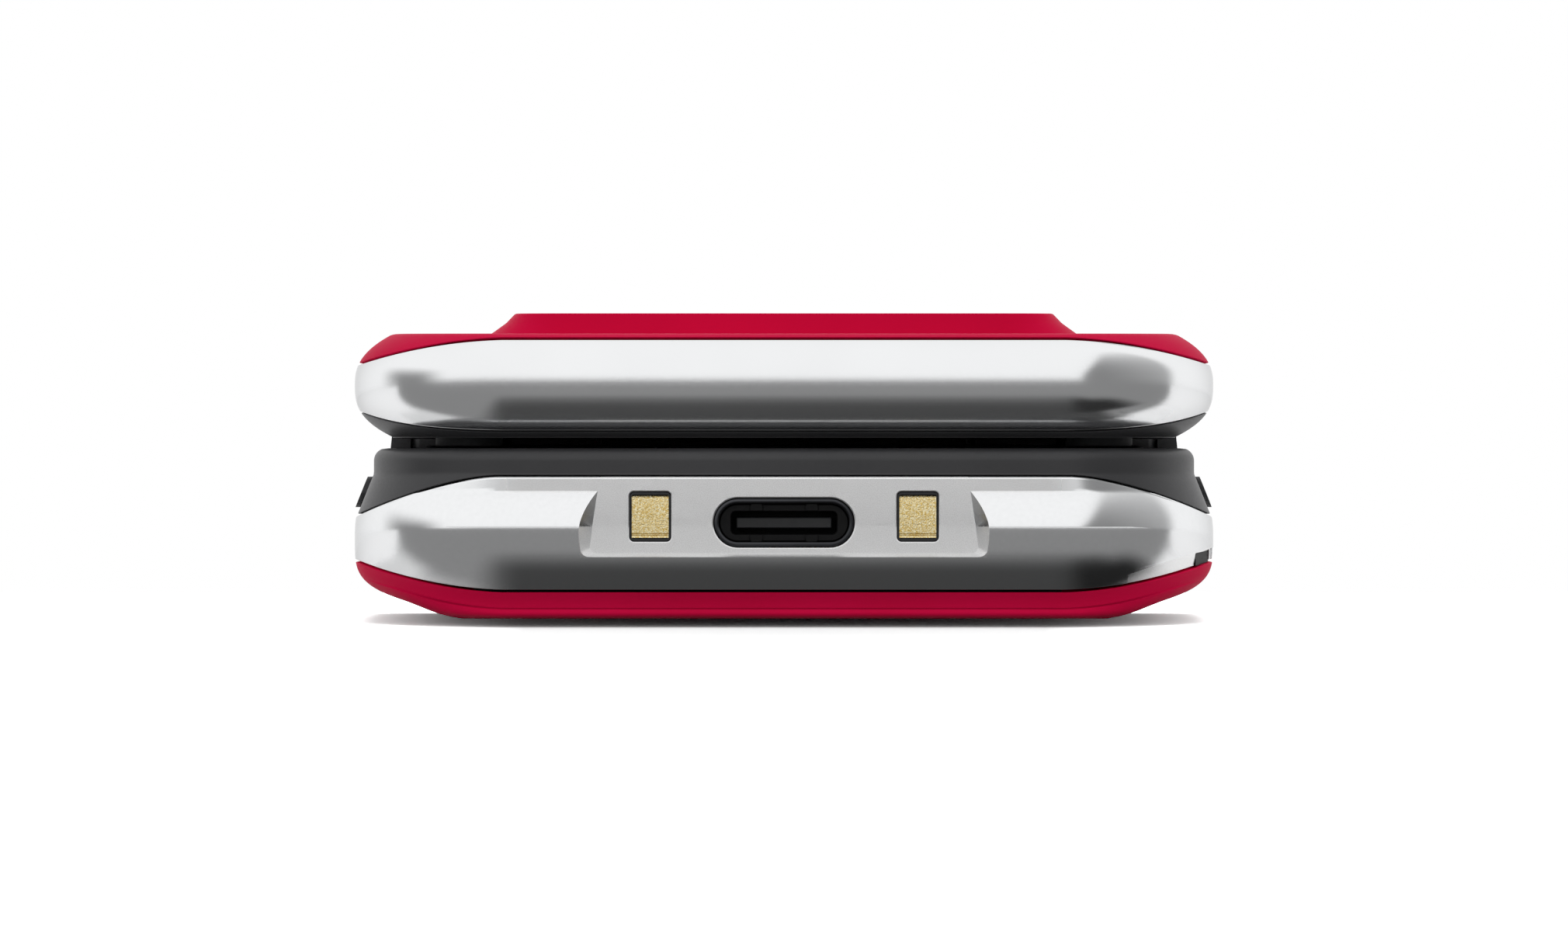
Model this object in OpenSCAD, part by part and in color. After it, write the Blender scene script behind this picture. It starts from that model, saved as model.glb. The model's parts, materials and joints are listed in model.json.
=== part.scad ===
// A flip phone, closed and lying on its battery cover.
// X runs across it, +Y points at the hinge, +Z is up. The origin is under the middle of the body.

/* [Body] */
// Width across the sides
body_w = 56; // [55.6:0.1:56.6]
// Length from the port end to the hinge end
body_l = 110; // [109:0.5:111]
// Radius of the corners in plan
corner_r = 9.7; // [9.6:0.05:10]
// Flat steps round each corner
corner_steps = 14; // [8:1:16]
// Rows of facets up each wall
wall_rows = 7; // [5:1:8]
// Dark line left between two shells
seam_gap = 0.08; // [0.04:0.01:0.12]

/* [Keypad half] */
// Height of the keypad half
base_h = 11.1; // [11:0.05:11.2]
// Height of the widest line of its side
base_widest = 5.4; // [5.2:0.1:5.6]
// Inset of the flat underside from the widest line
base_underside_inset = 9.3; // [8.8:0.1:9.5]
// Inset of the flat panel that holds the port
panel_inset = 1.1; // [0.9:0.05:1.2]
// Thickness of the battery cover's floor
floor_t = 1; // [0.8:0.1:1.1]
// Thickness of the keypad deck
deck_t = 1.2; // [1:0.1:1.3]

/* [Lid] */
// Gap between the closed halves
half_gap = 0.67; // [0.6:0.01:0.75]
// Thickness of the lid without its island
lid_t = 6.79; // [6.7:0.01:6.9]
// Height of the raised island above the lid
island_h = 1.34; // [1.2:0.02:1.5]
// Width of the island at its foot
island_w = 37.7; // [36:0.1:38]
// Length of the island at its foot
island_l = 64; // [60:1:66]
// Thickness of the lid's inner frame
frame_t = 1; // [0.9:0.1:1.1]
// Thickness of the lid cover
cover_t = 1.1; // [1:0.1:1.2]

/* [Hinge] */
// Radius of the barrel and of the ears
barrel_r = 6.1; // [6:0.05:6.2]
// Height of the hinge axis
axis_z = 12.4; // [12.35:0.05:12.45]
// Distance of the hinge axis from the hinge end
axis_back = 6.4; // [6.3:0.1:6.5]
// Half width of the lid's barrel
barrel_half = 12.6; // [12:0.1:13]
// Distance of the ears' outer ends from the middle
ear_out = 25.4; // [25:0.1:25.5]
// Radius of the hinge pins
pin_r = 2.45; // [2.3:0.05:2.5]
// Radial running clearance of the pins
pin_play = 0.05; // [0.03:0.01:0.08]

/* [Keys] */
// Width and depth of a number key
number_key = [15.2, 8.7];
// Pitch of the number keys, across and along
number_pitch = [15.9, 9.4];
// Row of the lowest number keys
number_row_y = -40.6; // [-41:0.1:-40]
// Clearance round each key
key_gap = 0.15; // [0.1:0.01:0.2]
// Height of a key above the deck
key_proud = 0.25; // [0.1:0.05:0.3]
// Travel of a key
key_travel = 0.35; // [0.25:0.05:0.4]
// Place of the side keys along the length, from its middle
side_key_y = -30; // [-34:1:-24]

/* [Port] */
// Width and height of the port's shell
port_size = [9.1, 3.13];
// Height of the port's middle
port_z = 6.25; // [6.2:0.05:6.3]
// Wall of the port's shell
port_wall = 0.32; // [0.28:0.01:0.36]
// Distance of the charging contacts from the middle
contact_x = 8.7; // [8.5:0.1:9]
// Height of the charging contacts' middle
contact_z = 6.7; // [6.5:0.1:6.8]

/* [Hidden] */
half_w = body_w / 2;
front_y = -body_l / 2;
rear_y = body_l / 2;
axis_y = rear_y - axis_back;
lid_low = base_h + half_gap;
lid_top = lid_low + lid_t;
lid_widest = [15.2, 15.65]; // at the sides, at the port end
lid_rear_y = axis_y - barrel_r - 0.4;
lid_rear_r = 4;
lid_top_inset = 2.5;
lid_low_inset = 2.6;
lid_inner_inset = 2.7;
base_inner_inset = 3;
deck_low_z = base_h - deck_t;
deck_step = 1.2;
deck_step_z = 9.44;
deck_foot_z = 6.7;
deck_lip = 0.15;
deck_lean = 1.1;
deck_round = 0.8;
bulge_z = 5.9;
strip_z = 8.3;
front_tuck = 1.6;
front_turn = 2.2;
panel_y = front_y + panel_inset;
pocket_r = barrel_r + 0.3;
pocket_half = barrel_half + 0.3;
slip = 0.05;
board_z = 7.2;
board_t = 0.8;
board_top = board_z + board_t;
sheet_top = board_top + 0.2;
dome_h = 0.15;
plunger_z = sheet_top + dome_h + key_travel + 0.05;
plunger_r = 1.2;
flange_z = 9;
flange_top = 9.5;
key_top = base_h + key_proud;
battery_size = [34, 52, 5];
battery_pos = [0, 8, 1.2];
screw_x = 20.5;
base_screw_y = [-48.2, 38.2];
lid_screw_y = [-47.6, 36.8];
speaker_pos = [-13.4, 41.2];
window_size = [44, 64];
window_y = -1;
earpiece_pos = [0, -46];
earpiece_slot = [11, 1.6];
outer_window_size = [28, 29];
outer_window_y = -24;
island_y = -14;
camera_pos = [0, 6];
camera_hole_r = 4.35;
led_pos = [9.5, 6];
led_hole_r = 1.45;
lid_board_z = 15;
$fn = 48;

// Seams as [height at the middle, half width of the level stretch, rise at the sides, power].
// Their heights depend only on the distance from the middle line.
cover_seam = [lid_top - 0.31, 17.5, -1.76, 2];
frame_seam = [lid_low + 0.4, 0, 1.52, 8.5];
deck_seam = [base_h - 1.8, 18.7, -2.65, 1.6];
floor_seam = [1.85, 17.5, 2.02, 2];

// Keys as [name, x, y, width, depth, corner radius]
digit_names = ["key_star", "key_0", "key_hash", "key_7", "key_8", "key_9",
  "key_4", "key_5", "key_6", "key_1", "key_2", "key_3"];
number_keys = [for (i = [0 : 11]) [digit_names[i], (i % 3 - 1) * number_pitch[0],
  number_row_y + floor(i / 3) * number_pitch[1], number_key[0], number_key[1], 1.8]];
function_row_y = number_row_y + 4 * number_pitch[1];
nav_y = 18.6;
nav_r = [5.6, 11.6];
soft_y = nav_y + 7.8;
function_keys = [
  ["send_key", -16.6, function_row_y, 13.8, 7.4, 3],
  ["clear_key", 0, function_row_y, 12.6, 7.4, 3],
  ["end_key", 16.6, function_row_y, 13.8, 7.4, 3],
  ["soft_key_left", -18.6, soft_y, 9.4, 8, 3],
  ["soft_key_right", 18.6, soft_y, 9.4, 8, 3]];
flat_keys = concat(number_keys, function_keys);

// Side keys as [name, side, length]
side_key_z = [7.25, 9.25];
side_keys = [["volume_rocker", -1, 19], ["side_key", 1, 10]];

function mid(a, b, t) = a + (b - a) * t;

// Stations round a rounded rectangle, anticlockwise from its front right corner, as
// [corner centre x, corner centre y, corner radius, angle]
function outline(hw, y0, y1, rf, rb) =
  let (corners = [[hw - rf, y0 + rf, rf], [hw - rb, y1 - rb, rb],
    [rb - hw, y1 - rb, rb], [rf - hw, y0 + rf, rf]])
  [for (c = [0 : 3]) for (k = [0 : corner_steps])
    concat(corners[c], [90 * (c - 1) + 90 * k / corner_steps])];

function inset_point(s, d) = [s[0] + (s[2] - d) * cos(s[3]), s[1] + (s[2] - d) * sin(s[3])];
function inset_outline(stations, d) = [for (s = stations) inset_point(s, d)];

base_line = outline(half_w, front_y, rear_y, corner_r, corner_r);
lid_line = outline(half_w, front_y, lid_rear_y, corner_r, lid_rear_r);

// How far the walls stand in from the widest line at a height. They take the station too,
// because the port end differs from the sides.
function facing_port(s) = pow(max(0, -sin(s[3])), 2);
lid_inset = function (s, z)
  let (widest = mid(lid_widest[0], lid_widest[1], facing_port(s)))
  z > widest ? lid_top_inset * pow((z - widest) / (lid_top - widest), 2.58)
  : lid_low_inset * pow((widest - z) / (widest - lid_low), 2.8);
base_side_inset = function (z) z > base_widest
  ? deck_step * pow((z - base_widest) / (deck_step_z - base_widest), 2.2)
  : base_underside_inset * pow((base_widest - z) / base_widest, 4.3);
base_front_inset = function (z) z > bulge_z
  ? panel_inset * pow(min(1, (z - bulge_z) / (strip_z - bulge_z)), 1.9)
  : front_tuck * pow((bulge_z - z) / (bulge_z - floor_seam[0]), 1.6)
    + front_turn * pow(max(0, 1 - z / floor_seam[0]), 6);
base_inset = function (s, z) mid(base_side_inset(z), base_front_inset(z), facing_port(s));
deck_inset = function (s, z)
  let (t = max(0, (z - base_h + deck_round) / deck_round))
  deck_lip + deck_lean * min(1, (z - deck_foot_z) / (deck_step_z - deck_foot_z))
  + deck_round * (1 - sqrt(max(0, 1 - t * t)));

// Height of a seam at a distance from the middle line
function seam_z(seam, x) = seam[0] + seam[2] * pow(max(0, x - seam[1]) / (half_w - seam[1]), seam[3]);

// Height at which a seam meets the wall at a station, moved by a share of the seam gap
function seam_height(s, seam, inset, side) =
  let (z = seam_z(seam, abs(inset_point(s, 1)[0])))
  seam_z(seam, abs(inset_point(s, inset(s, z))[0])) + side * seam_gap / 2;

// One row of a wall, with each station's point at its own height and inset
function row(stations, height, inset) =
  [for (s = stations) let (z = height(s)) concat(inset_point(s, inset(s, z)), [z])];
function level_row(stations, z, d) = [for (s = stations) concat(inset_point(s, d), [z])];

// Rows of a closed wall between two heights, with an upright inner face
function wall(stations, low, high, inset, inner) = concat(
  [for (k = [0 : wall_rows]) row(stations, function (s) mid(low(s), high(s), k / wall_rows), inset)],
  [row(stations, high, function (s, z) inner), row(stations, low, function (s, z) inner)]);

// Skin over a closed loop of rings
module skin(rings) {
  n = len(rings[0]);
  m = len(rings);
  polyhedron([for (r = rings) each r], [for (j = [0 : m - 1]) for (i = [0 : n - 1])
    let (a = j * n + i, b = j * n + (i + 1) % n, c = (j + 1) % m * n + (i + 1) % n, d = (j + 1) % m * n + i)
    each [[a, d, c], [a, c, b]]]);
}

function round_rect(w, h, r, n = 6) = [for (c = [0 : 3]) for (k = [0 : n])
  let (a = 90 * (c + k / n), sx = c == 0 || c == 3 ? 1 : -1, sy = c < 2 ? 1 : -1)
  [sx * (w / 2 - r) + r * cos(a), sy * (h / 2 - r) + r * sin(a)]];

module slab(pos, size, r, z0, z1) {
  translate([pos[0], pos[1], z0]) linear_extrude(z1 - z0) polygon(round_rect(size[0], size[1], r));
}
module block(x, y, z) {
  translate([x[0], y[0], z[0]]) cube([x[1] - x[0], y[1] - y[0], z[1] - z[0]]);
}
module rod(pos, r, z0, z1) {
  translate([pos[0], pos[1], z0]) cylinder(r = r, h = z1 - z0);
}
module plate(stations, d, z0, z1) {
  translate([0, 0, z0]) linear_extrude(z1 - z0) polygon(inset_outline(stations, d));
}
module along_x(x0, x1) {
  translate([x0, 0, 0]) rotate([90, 0, 90]) linear_extrude(x1 - x0) children();
}
module along_y(y0, y1) {
  translate([0, y1, 0]) rotate([90, 0, 0]) linear_extrude(y1 - y0) children();
}
module axis_rod(r, x0, x1) {
  translate([x0, axis_y, axis_z]) rotate([0, 90, 0]) cylinder(r = r, h = x1 - x0);
}
module both_sides() {
  children();
  mirror([1, 0, 0]) children();
}
module at_screws(rows) {
  for (x = [-screw_x, screw_x], y = rows) translate([x, y, 0]) children();
}

// Room that the lid's barrel and the lid's back edge sweep in the keypad half
module hinge_pocket() {
  along_x(-pocket_half, pocket_half) {
    translate([axis_y, axis_z]) circle(r = pocket_r);
    polygon([[axis_y, axis_z], [axis_y + 2, axis_z - 6.05], [rear_y + 1, 8.3], [rear_y + 1, axis_z]]);
  }
}

module battery_cover() {
  floor_inset = base_underside_inset + 0.1;
  rim = function (s) seam_height(s, floor_seam, base_inset, -1);
  inner = function (s, z) min(floor_inset, base_inset(s, max(0, z - 0.9)) + 0.5);
  color("crimson") {
    skin(concat(
      [for (k = [0 : wall_rows + 1]) row(base_line, function (s) rim(s) * k / (wall_rows + 1), base_inset)],
      [for (k = [4 : -1 : 1]) row(base_line, function (s) mid(floor_t, rim(s), k / 4), inner)],
      [level_row(base_line, floor_t, floor_inset), level_row(base_line, 0, floor_inset)]));
    difference() {
      plate(base_line, floor_inset, 0, floor_t);
      for (x = [-2.6 : 2.6 : 2.6], y = [-1.3, 1.3]) rod(speaker_pos + [x, y], 0.6, -1, floor_t + 1);
    }
  }
}

module base_band() {
  port_hole = [port_size[0] + 2 * slip, port_size[1] + 2 * slip];
  inner_half = [12.1, 12.43, 12.75, 12.4];
  inner_z = [strip_z, 6.24, 4.55, 4.27];
  draft = 1;
  lip = 0.3;
  nail_slot = [3.1, 0.8];
  nail_slot_angle = -16;
  nail_slot_z = 3.98;
  color("silver") difference() {
    skin(wall(base_line, function (s) seam_height(s, floor_seam, base_inset, 1),
      function (s) seam_height(s, deck_seam, base_inset, -1), base_inset, base_inner_inset - 0.1));
    hull() {
      along_y(panel_y + 0.01, panel_y + 0.02) both_halves(inner_half, inner_z, 0, 0);
      along_y(front_y - 0.2, front_y - 0.1) both_halves(inner_half, inner_z, draft, lip);
    }
    along_y(front_y, front_y + 5) translate([0, port_z])
      polygon(round_rect(port_hole[0], port_hole[1], port_hole[1] / 2 - 0.01));
    for (x = [-contact_x, contact_x]) translate([x, 0, contact_z])
      block([-1.38, 1.38], [front_y, front_y + 5], [-1.66, 1.66]);
    translate([half_w - corner_r, front_y + corner_r, nail_slot_z]) rotate([0, 0, nail_slot_angle])
      translate([corner_r - 1.1, -nail_slot[0] / 2, -nail_slot[1] / 2]) cube([2, nail_slot[0], nail_slot[1]]);
    hinge_pocket();
  }
}

// Outline of the port's panel, from its right half's corners
module both_halves(half, z, out, drop) {
  polygon(concat([for (i = [0 : 3]) [half[i] + out, z[i] - (i > 1 ? drop : 0)]],
    [for (i = [3 : -1 : 0]) [-half[i] - out, z[i] - (i > 1 ? drop : 0)]]));
}

// Plan of the body on the +X side of the hinge, with a true arc at the corner
module ear_plan(d) {
  corner = [half_w - corner_r, rear_y - corner_r];
  translate(corner) circle(r = corner_r - d);
  square([corner[0], rear_y - d]);
  square([half_w - d, corner[1]]);
}

// Ear of the hinge on the +X side, trimmed to the corner of the body, with a low shoulder beside its foot
module ear() {
  end_chamfer = 0.8;
  shoulder_y = [axis_y - 5.9, axis_y - 3];
  shoulder_top = axis_z + 0.2;
  along_y(shoulder_y[0], shoulder_y[1]) polygon([[ear_out - 0.2, base_h - 0.5],
    [ear_out + 1.25, base_h - 0.5], [ear_out + 1, shoulder_top], [ear_out - 0.2, shoulder_top]]);
  intersection() {
    union() {
      axis_rod(barrel_r, pocket_half, ear_out - end_chamfer);
      translate([ear_out - end_chamfer, axis_y, axis_z]) rotate([0, 90, 0])
        cylinder(r1 = barrel_r, r2 = barrel_r - end_chamfer, h = end_chamfer);
    }
    union() {
      translate([0, 0, deck_low_z]) linear_extrude(lid_top - deck_low_z) ear_plan(0.4);
      translate([0, 0, board_top]) linear_extrude(deck_low_z - board_top + 0.1)
        ear_plan(base_inner_inset - 0.05);
    }
  }
}

module side_slot(side, length) {
  clear = 2 * key_gap;
  height = side_key_z[1] - side_key_z[0] + clear;
  along_x(side > 0 ? half_w - 4 : -half_w - 1, side > 0 ? half_w + 1 : -half_w + 4)
    translate([side_key_y, (side_key_z[0] + side_key_z[1]) / 2])
      polygon(round_rect(length + clear, height, height / 2 - 0.01));
}

module keypad_deck() {
  mic_hole_r = 0.6;
  color("#1c1c1e") difference() {
    union() {
      skin(wall(base_line, function (s) seam_height(s, deck_seam, deck_inset, 1), function (s) base_h,
        deck_inset, base_inner_inset));
      plate(base_line, base_inner_inset, deck_low_z, base_h);
      both_sides() ear();
      at_screws(base_screw_y) rod([0, 0], 1.7, board_top + 0.1, deck_low_z + 0.5);
    }
    for (k = flat_keys)
      slab([k[1], k[2]], [k[3] + 2 * key_gap, k[4] + 2 * key_gap], k[5], flange_z, base_h + 1);
    rod([0, nav_y], nav_r[1] + key_gap, flange_z, base_h + 1);
    for (k = side_keys) side_slot(k[1], k[2]);
    rod([12, -48.4], mic_hole_r, deck_low_z - 1, base_h + 1);
    at_screws(base_screw_y) rod([0, 0], 0.75, board_top, deck_low_z + 0.2);
    both_sides() {
      axis_rod(pin_r + pin_play, pocket_half - 1, ear_out + 1);
      axis_rod(2.75, ear_out - 1.05, ear_out + 1);
    }
    hinge_pocket();
  }
}

module chassis() {
  bay = [battery_size[0] + 0.6, battery_size[1] + 0.6];
  bay_wall = 1;
  floor_z = board_z - 0.8;
  color("#2b2b2d") difference() {
    union() {
      plate(base_line, base_inner_inset + 0.4, floor_z, board_z - 0.1);
      translate([0, battery_pos[1], floor_t + 0.3]) linear_extrude(floor_z - floor_t - 0.2)
        polygon(round_rect(bay[0] + 2 * bay_wall, bay[1] + 2 * bay_wall, 1.5));
    }
    slab([0, battery_pos[1]], bay, 1, 0, floor_z);
    block([-21.2, 21.2], [-45.2, -21.2], [floor_z - 1, board_z]);
    block([-6, 6], [front_y, -45], [floor_z - 1, board_z]);
    block([-contact_x - 1.6, contact_x + 1.6], [front_y, -49.4], [floor_z - 1, board_z]);
    block([-5.4, 5.4], [-22, battery_pos[1] - bay[1] / 2 + 1], [3.7, board_z - 1]);
    both_sides() block([11.5, 15], [front_y, -47], [floor_z - 1, board_z]);
    block([-pocket_half - 0.3, pocket_half + 0.3], [lid_rear_y - 0.4, rear_y], [floor_z - 1, board_z]);
    at_screws(base_screw_y) rod([0, 0], 0.9, 0, board_z);
  }
}

module main_board() {
  color("darkgreen") difference() {
    slab([0, -4.6], [45.2, 91], 6.5, board_z, board_top);
    block([-port_size[0] / 2 - 0.3, port_size[0] / 2 + 0.3], [front_y, -46.4], [board_z - 1, board_top + 1]);
    at_screws(base_screw_y) rod([0, 0], 1.3, board_z - 1, board_top + 1);
  }
}

module shield_cans() {
  pos = [11, -33.2];
  size = [18.4, 22];
  sheet = 0.2;
  roof_z = 5.2;
  color("lightgray") both_sides() difference() {
    slab(pos, size, 1, roof_z, board_z - 0.03);
    slab(pos, size - 2 * [sheet, sheet], 1 - sheet / 2, roof_z + sheet, board_z);
  }
}

module dome_sheet() {
  dome_r = 2;
  dome_ring_r = (nav_r[0] + nav_r[1]) / 2;
  color("gainsboro") {
    difference() {
      slab([0, -5.3], [43.6, 80], 2, board_top + 0.05, sheet_top);
      block([-5, 5], [-47, -45.4], [board_top - 1, board_top + 1]);
    }
    for (k = flat_keys) rod([k[1], k[2]], dome_r, sheet_top - 0.1, sheet_top + dome_h);
    rod([0, nav_y], dome_r, sheet_top - 0.1, sheet_top + dome_h);
    for (a = [0 : 90 : 270])
      rod([dome_ring_r * cos(a), nav_y + dome_ring_r * sin(a)], dome_r, sheet_top - 0.1, sheet_top + dome_h);
  }
}

module usb_shell() {
  depth = 7.3;
  inner = [port_size[0] - 2 * port_wall, port_size[1] - 2 * port_wall];
  color("#38383a") difference() {
    along_y(panel_y, panel_y + depth) translate([0, port_z])
      polygon(round_rect(port_size[0], port_size[1], port_size[1] / 2 - 0.01, 10));
    along_y(panel_y - 1, panel_y + depth - 0.6) translate([0, port_z])
      polygon(round_rect(inner[0], inner[1], inner[1] / 2 - 0.01, 10));
  }
}

module usb_tongue() {
  color("#222222") {
    block([-3.1, 3.1], [panel_y + 0.9, panel_y + 6.6], [port_z - 0.35, port_z + 0.35]);
    along_y(panel_y + 4.9, panel_y + 6.65) translate([0, port_z])
      polygon(round_rect(port_size[0] - 2 * port_wall - 0.1, port_size[1] - 2 * port_wall - 0.1, 1.1));
  }
}

module charging_contacts() {
  color("gold") for (x = [-contact_x, contact_x]) translate([x, 0, contact_z]) {
    block([-1.15, 1.15], [panel_y + 0.15, panel_y + 1.9], [-1.4, 1.4]);
    block([-0.6, 0.6], [panel_y + 1.8, panel_y + 4.2], [-0.2, 0.2]);
  }
}

module contact_carriers() {
  color("#141414") for (x = [-contact_x, contact_x]) translate([x, 0, contact_z]) difference() {
    block([-1.33, 1.33], [panel_y + 0.1, panel_y + 2.6], [-1.61, 1.61]);
    block([-1.17, 1.17], [panel_y - 1, panel_y + 1.95], [-1.42, 1.42]);
    block([-0.62, 0.62], [panel_y, panel_y + 3], [-0.22, 0.22]);
  }
}

module battery() {
  color("#d8d8da") slab([battery_pos[0], battery_pos[1]], battery_size, 1.2,
    battery_pos[2], battery_pos[2] + battery_size[2]);
}

module battery_terminals() {
  rear = battery_pos[1] - battery_size[1] / 2 - 0.05;
  color("goldenrod") {
    block([-5.2, 5.2], [rear - 3, rear - 0.7], [3.8, 6.1]);
    for (x = [-3, 0, 3]) block([x - 0.6, x + 0.6], [rear - 0.8, rear], [4.6, 5.4]);
  }
}

module sim_holder() {
  x = [-17, -1];
  y = [-44, -29];
  z = [3.4, 4.9];
  rail = 0.6;
  color("lightsteelblue") difference() {
    block(x, y, z);
    block([x[0] + rail, x[1] - rail], [y[0] - 1, y[1] - 1], [z[0] + rail / 2, z[1] - rail / 2]);
  }
}

module loudspeaker() {
  body = [15, 10];
  foot_z = 1.4;
  color("#303030") {
    slab(speaker_pos, body, 1.5, foot_z, foot_z + 2.8);
    slab(speaker_pos, body - [4, 3], 3, foot_z + 2.7, foot_z + 3.2);
  }
}

module microphone() {
  color("gold") block([10.6, 13.4], [-49.4, -47.4], [board_top + 0.02, board_top + 1.1]);
}

module vibration_motor() {
  motor_r = 4;
  color("silver") rod([14, 42], motor_r, 1.4, 4.1);
}

module antenna() {
  color("#444446") block([-14, 14], [-49.6, -46], [2.3, 4.4]);
}

module base_screws() {
  color("dimgray") at_screws(base_screw_y) difference() {
    union() {
      rod([0, 0], 1.6, board_z - 1.8, board_z - 0.8);
      rod([0, 0], 0.7, board_z - 1.8, deck_low_z - 0.1);
    }
    block([-0.9, 0.9], [-0.2, 0.2], [board_z - 2, board_z - 1.4]);
    block([-0.2, 0.2], [-0.9, 0.9], [board_z - 2, board_z - 1.4]);
  }
}

module side_switches() {
  switch_x = [22.65, 23.65];
  switch_top = board_top + 0.5;
  color("silver") {
    block([switch_x[0], switch_x[1]], [side_key_y - 2, side_key_y + 2], [board_z, switch_top]);
    for (y = [side_key_y - 6, side_key_y + 6])
      block([-switch_x[1], -switch_x[0]], [y - 2, y + 2], [board_z, switch_top]);
  }
}

module hinge_cam() {
  color("gray") {
    axis_rod(pin_r, -ear_out + 1.1, -pocket_half + 0.05);
    axis_rod(1.2, -pocket_half, -1);
  }
}

module hinge_pin() {
  color("gray") difference() {
    axis_rod(pin_r, 6.5, ear_out - 1.1);
    axis_rod(1.4, 6, ear_out);
  }
}

module hinge_caps() {
  color("#3a3a3c") both_sides() difference() {
    axis_rod(2.7, ear_out - 1, ear_out - 0.1);
    axis_rod(1.6, ear_out - 0.25, ear_out);
  }
}

module hinge_flex() {
  color("orange") axis_rod(1.2, 5.2, ear_out - 2);
}

module nav_ring() {
  plunger_ring_r = (nav_r[0] + nav_r[1]) / 2;
  color("silver") difference() {
    union() {
      rod([0, nav_y], nav_r[1], flange_z, key_top);
      rod([0, nav_y], nav_r[1] + 0.6, flange_z, flange_top);
      for (a = [0 : 90 : 270])
        rod([plunger_ring_r * cos(a), nav_y + plunger_ring_r * sin(a)], plunger_r, plunger_z, flange_z + 0.1);
    }
    rod([0, nav_y], nav_r[0], flange_z - 1, key_top + 1);
  }
}

module ok_key() {
  color("silver") {
    rod([0, nav_y], nav_r[0] - key_gap, flange_z, key_top);
    rod([0, nav_y], plunger_r, plunger_z, flange_z + 0.1);
  }
}

module flat_key(k) {
  skirt = 0.55;
  color("whitesmoke") {
    slab([k[1], k[2]], [k[3], k[4]], k[5] - 0.1, flange_top - 0.1, key_top - 0.2);
    slab([k[1], k[2]], [k[3] - 0.4, k[4] - 0.4], k[5] - 0.3, key_top - 0.25, key_top);
    slab([k[1], k[2]], [k[3] + skirt, k[4] + skirt], k[5], flange_z, flange_top);
    rod([k[1], k[2]], plunger_r, plunger_z, flange_z + 0.1);
  }
}

module side_button(k) {
  proud = 0.4;
  z0 = side_key_z[0];
  height = side_key_z[1] - z0;
  root_x = half_w - 3.85;
  face = [for (i = [0 : 4]) let (z = z0 + height * i / 4)
    [half_w - deck_inset(base_line[0], z) + (i % 4 == 0 ? 0 : proud), z]];
  color("#26262a") mirror([k[1] < 0 ? 1 : 0, 0, 0]) {
    intersection() {
      along_y(side_key_y - k[2] / 2, side_key_y + k[2] / 2)
        polygon(concat([[root_x, z0 + height], [root_x, z0]], face));
      along_x(half_w - 5, half_w + 1) translate([side_key_y, z0 + height / 2])
        polygon(round_rect(k[2], height, height / 2 - 0.01));
    }
    block([root_x - 0.15, root_x + 0.55], [side_key_y - k[2] / 2 - 0.5, side_key_y + k[2] / 2 + 0.5],
      [z0 + 0.2, z0 + 1.3]);
  }
}

module lid_band() {
  color("silver") difference() {
    skin(wall(lid_line, function (s) seam_height(s, frame_seam, lid_inset, 1),
      function (s) seam_height(s, cover_seam, lid_inset, -1), lid_inset, lid_inner_inset - 0.1));
    block([-barrel_half - 0.1, barrel_half + 0.1], [lid_rear_y - 4, lid_rear_y + 1], [lid_low, lid_top]);
  }
}

module lid_frame() {
  web_top = lid_top - 1.02;
  web_y = lid_rear_y - lid_inner_inset;
  color("#1c1c1e") difference() {
    union() {
      skin(wall(lid_line, function (s) lid_low, function (s) seam_height(s, frame_seam, lid_inset, -1),
        lid_inset, lid_inner_inset));
      plate(lid_line, lid_inner_inset, lid_low, lid_low + frame_t);
      along_x(-barrel_half, barrel_half) {
        translate([axis_y, axis_z]) circle(r = barrel_r);
        polygon([[web_y + 0.1, lid_low + 0.03], [axis_y - 5, lid_low + 0.03], [axis_y, axis_z],
          [axis_y, axis_z + barrel_r], [lid_rear_y + 0.05, axis_z + barrel_r - 0.02],
          [lid_rear_y - 1.2, lid_top - 0.46], [lid_rear_y - 0.9, web_top], [web_y + 0.1, web_top]]);
      }
      at_screws(lid_screw_y) rod([0, 0], 2.6, lid_low + 0.1, lid_low + 2);
    }
    slab([0, window_y], window_size + 2 * [slip, slip], 2.05, lid_low - 1, lid_low + 2);
    slab(earpiece_pos, earpiece_slot, earpiece_slot[1] / 2 - 0.05, lid_low - 1, lid_low + 3);
    at_screws(lid_screw_y) {
      rod([0, 0], 2.25, lid_low - 1, lid_low + 0.5);
      rod([0, 0], 1.55, lid_low, lid_low + 1.4);
      rod([0, 0], 0.8, lid_low, lid_low + 3);
    }
    axis_rod(3, -barrel_half - 1, 3);
    axis_rod(pin_r + pin_play, 6, barrel_half + 1);
    axis_rod(1.3, 2, 7);
  }
}

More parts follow.
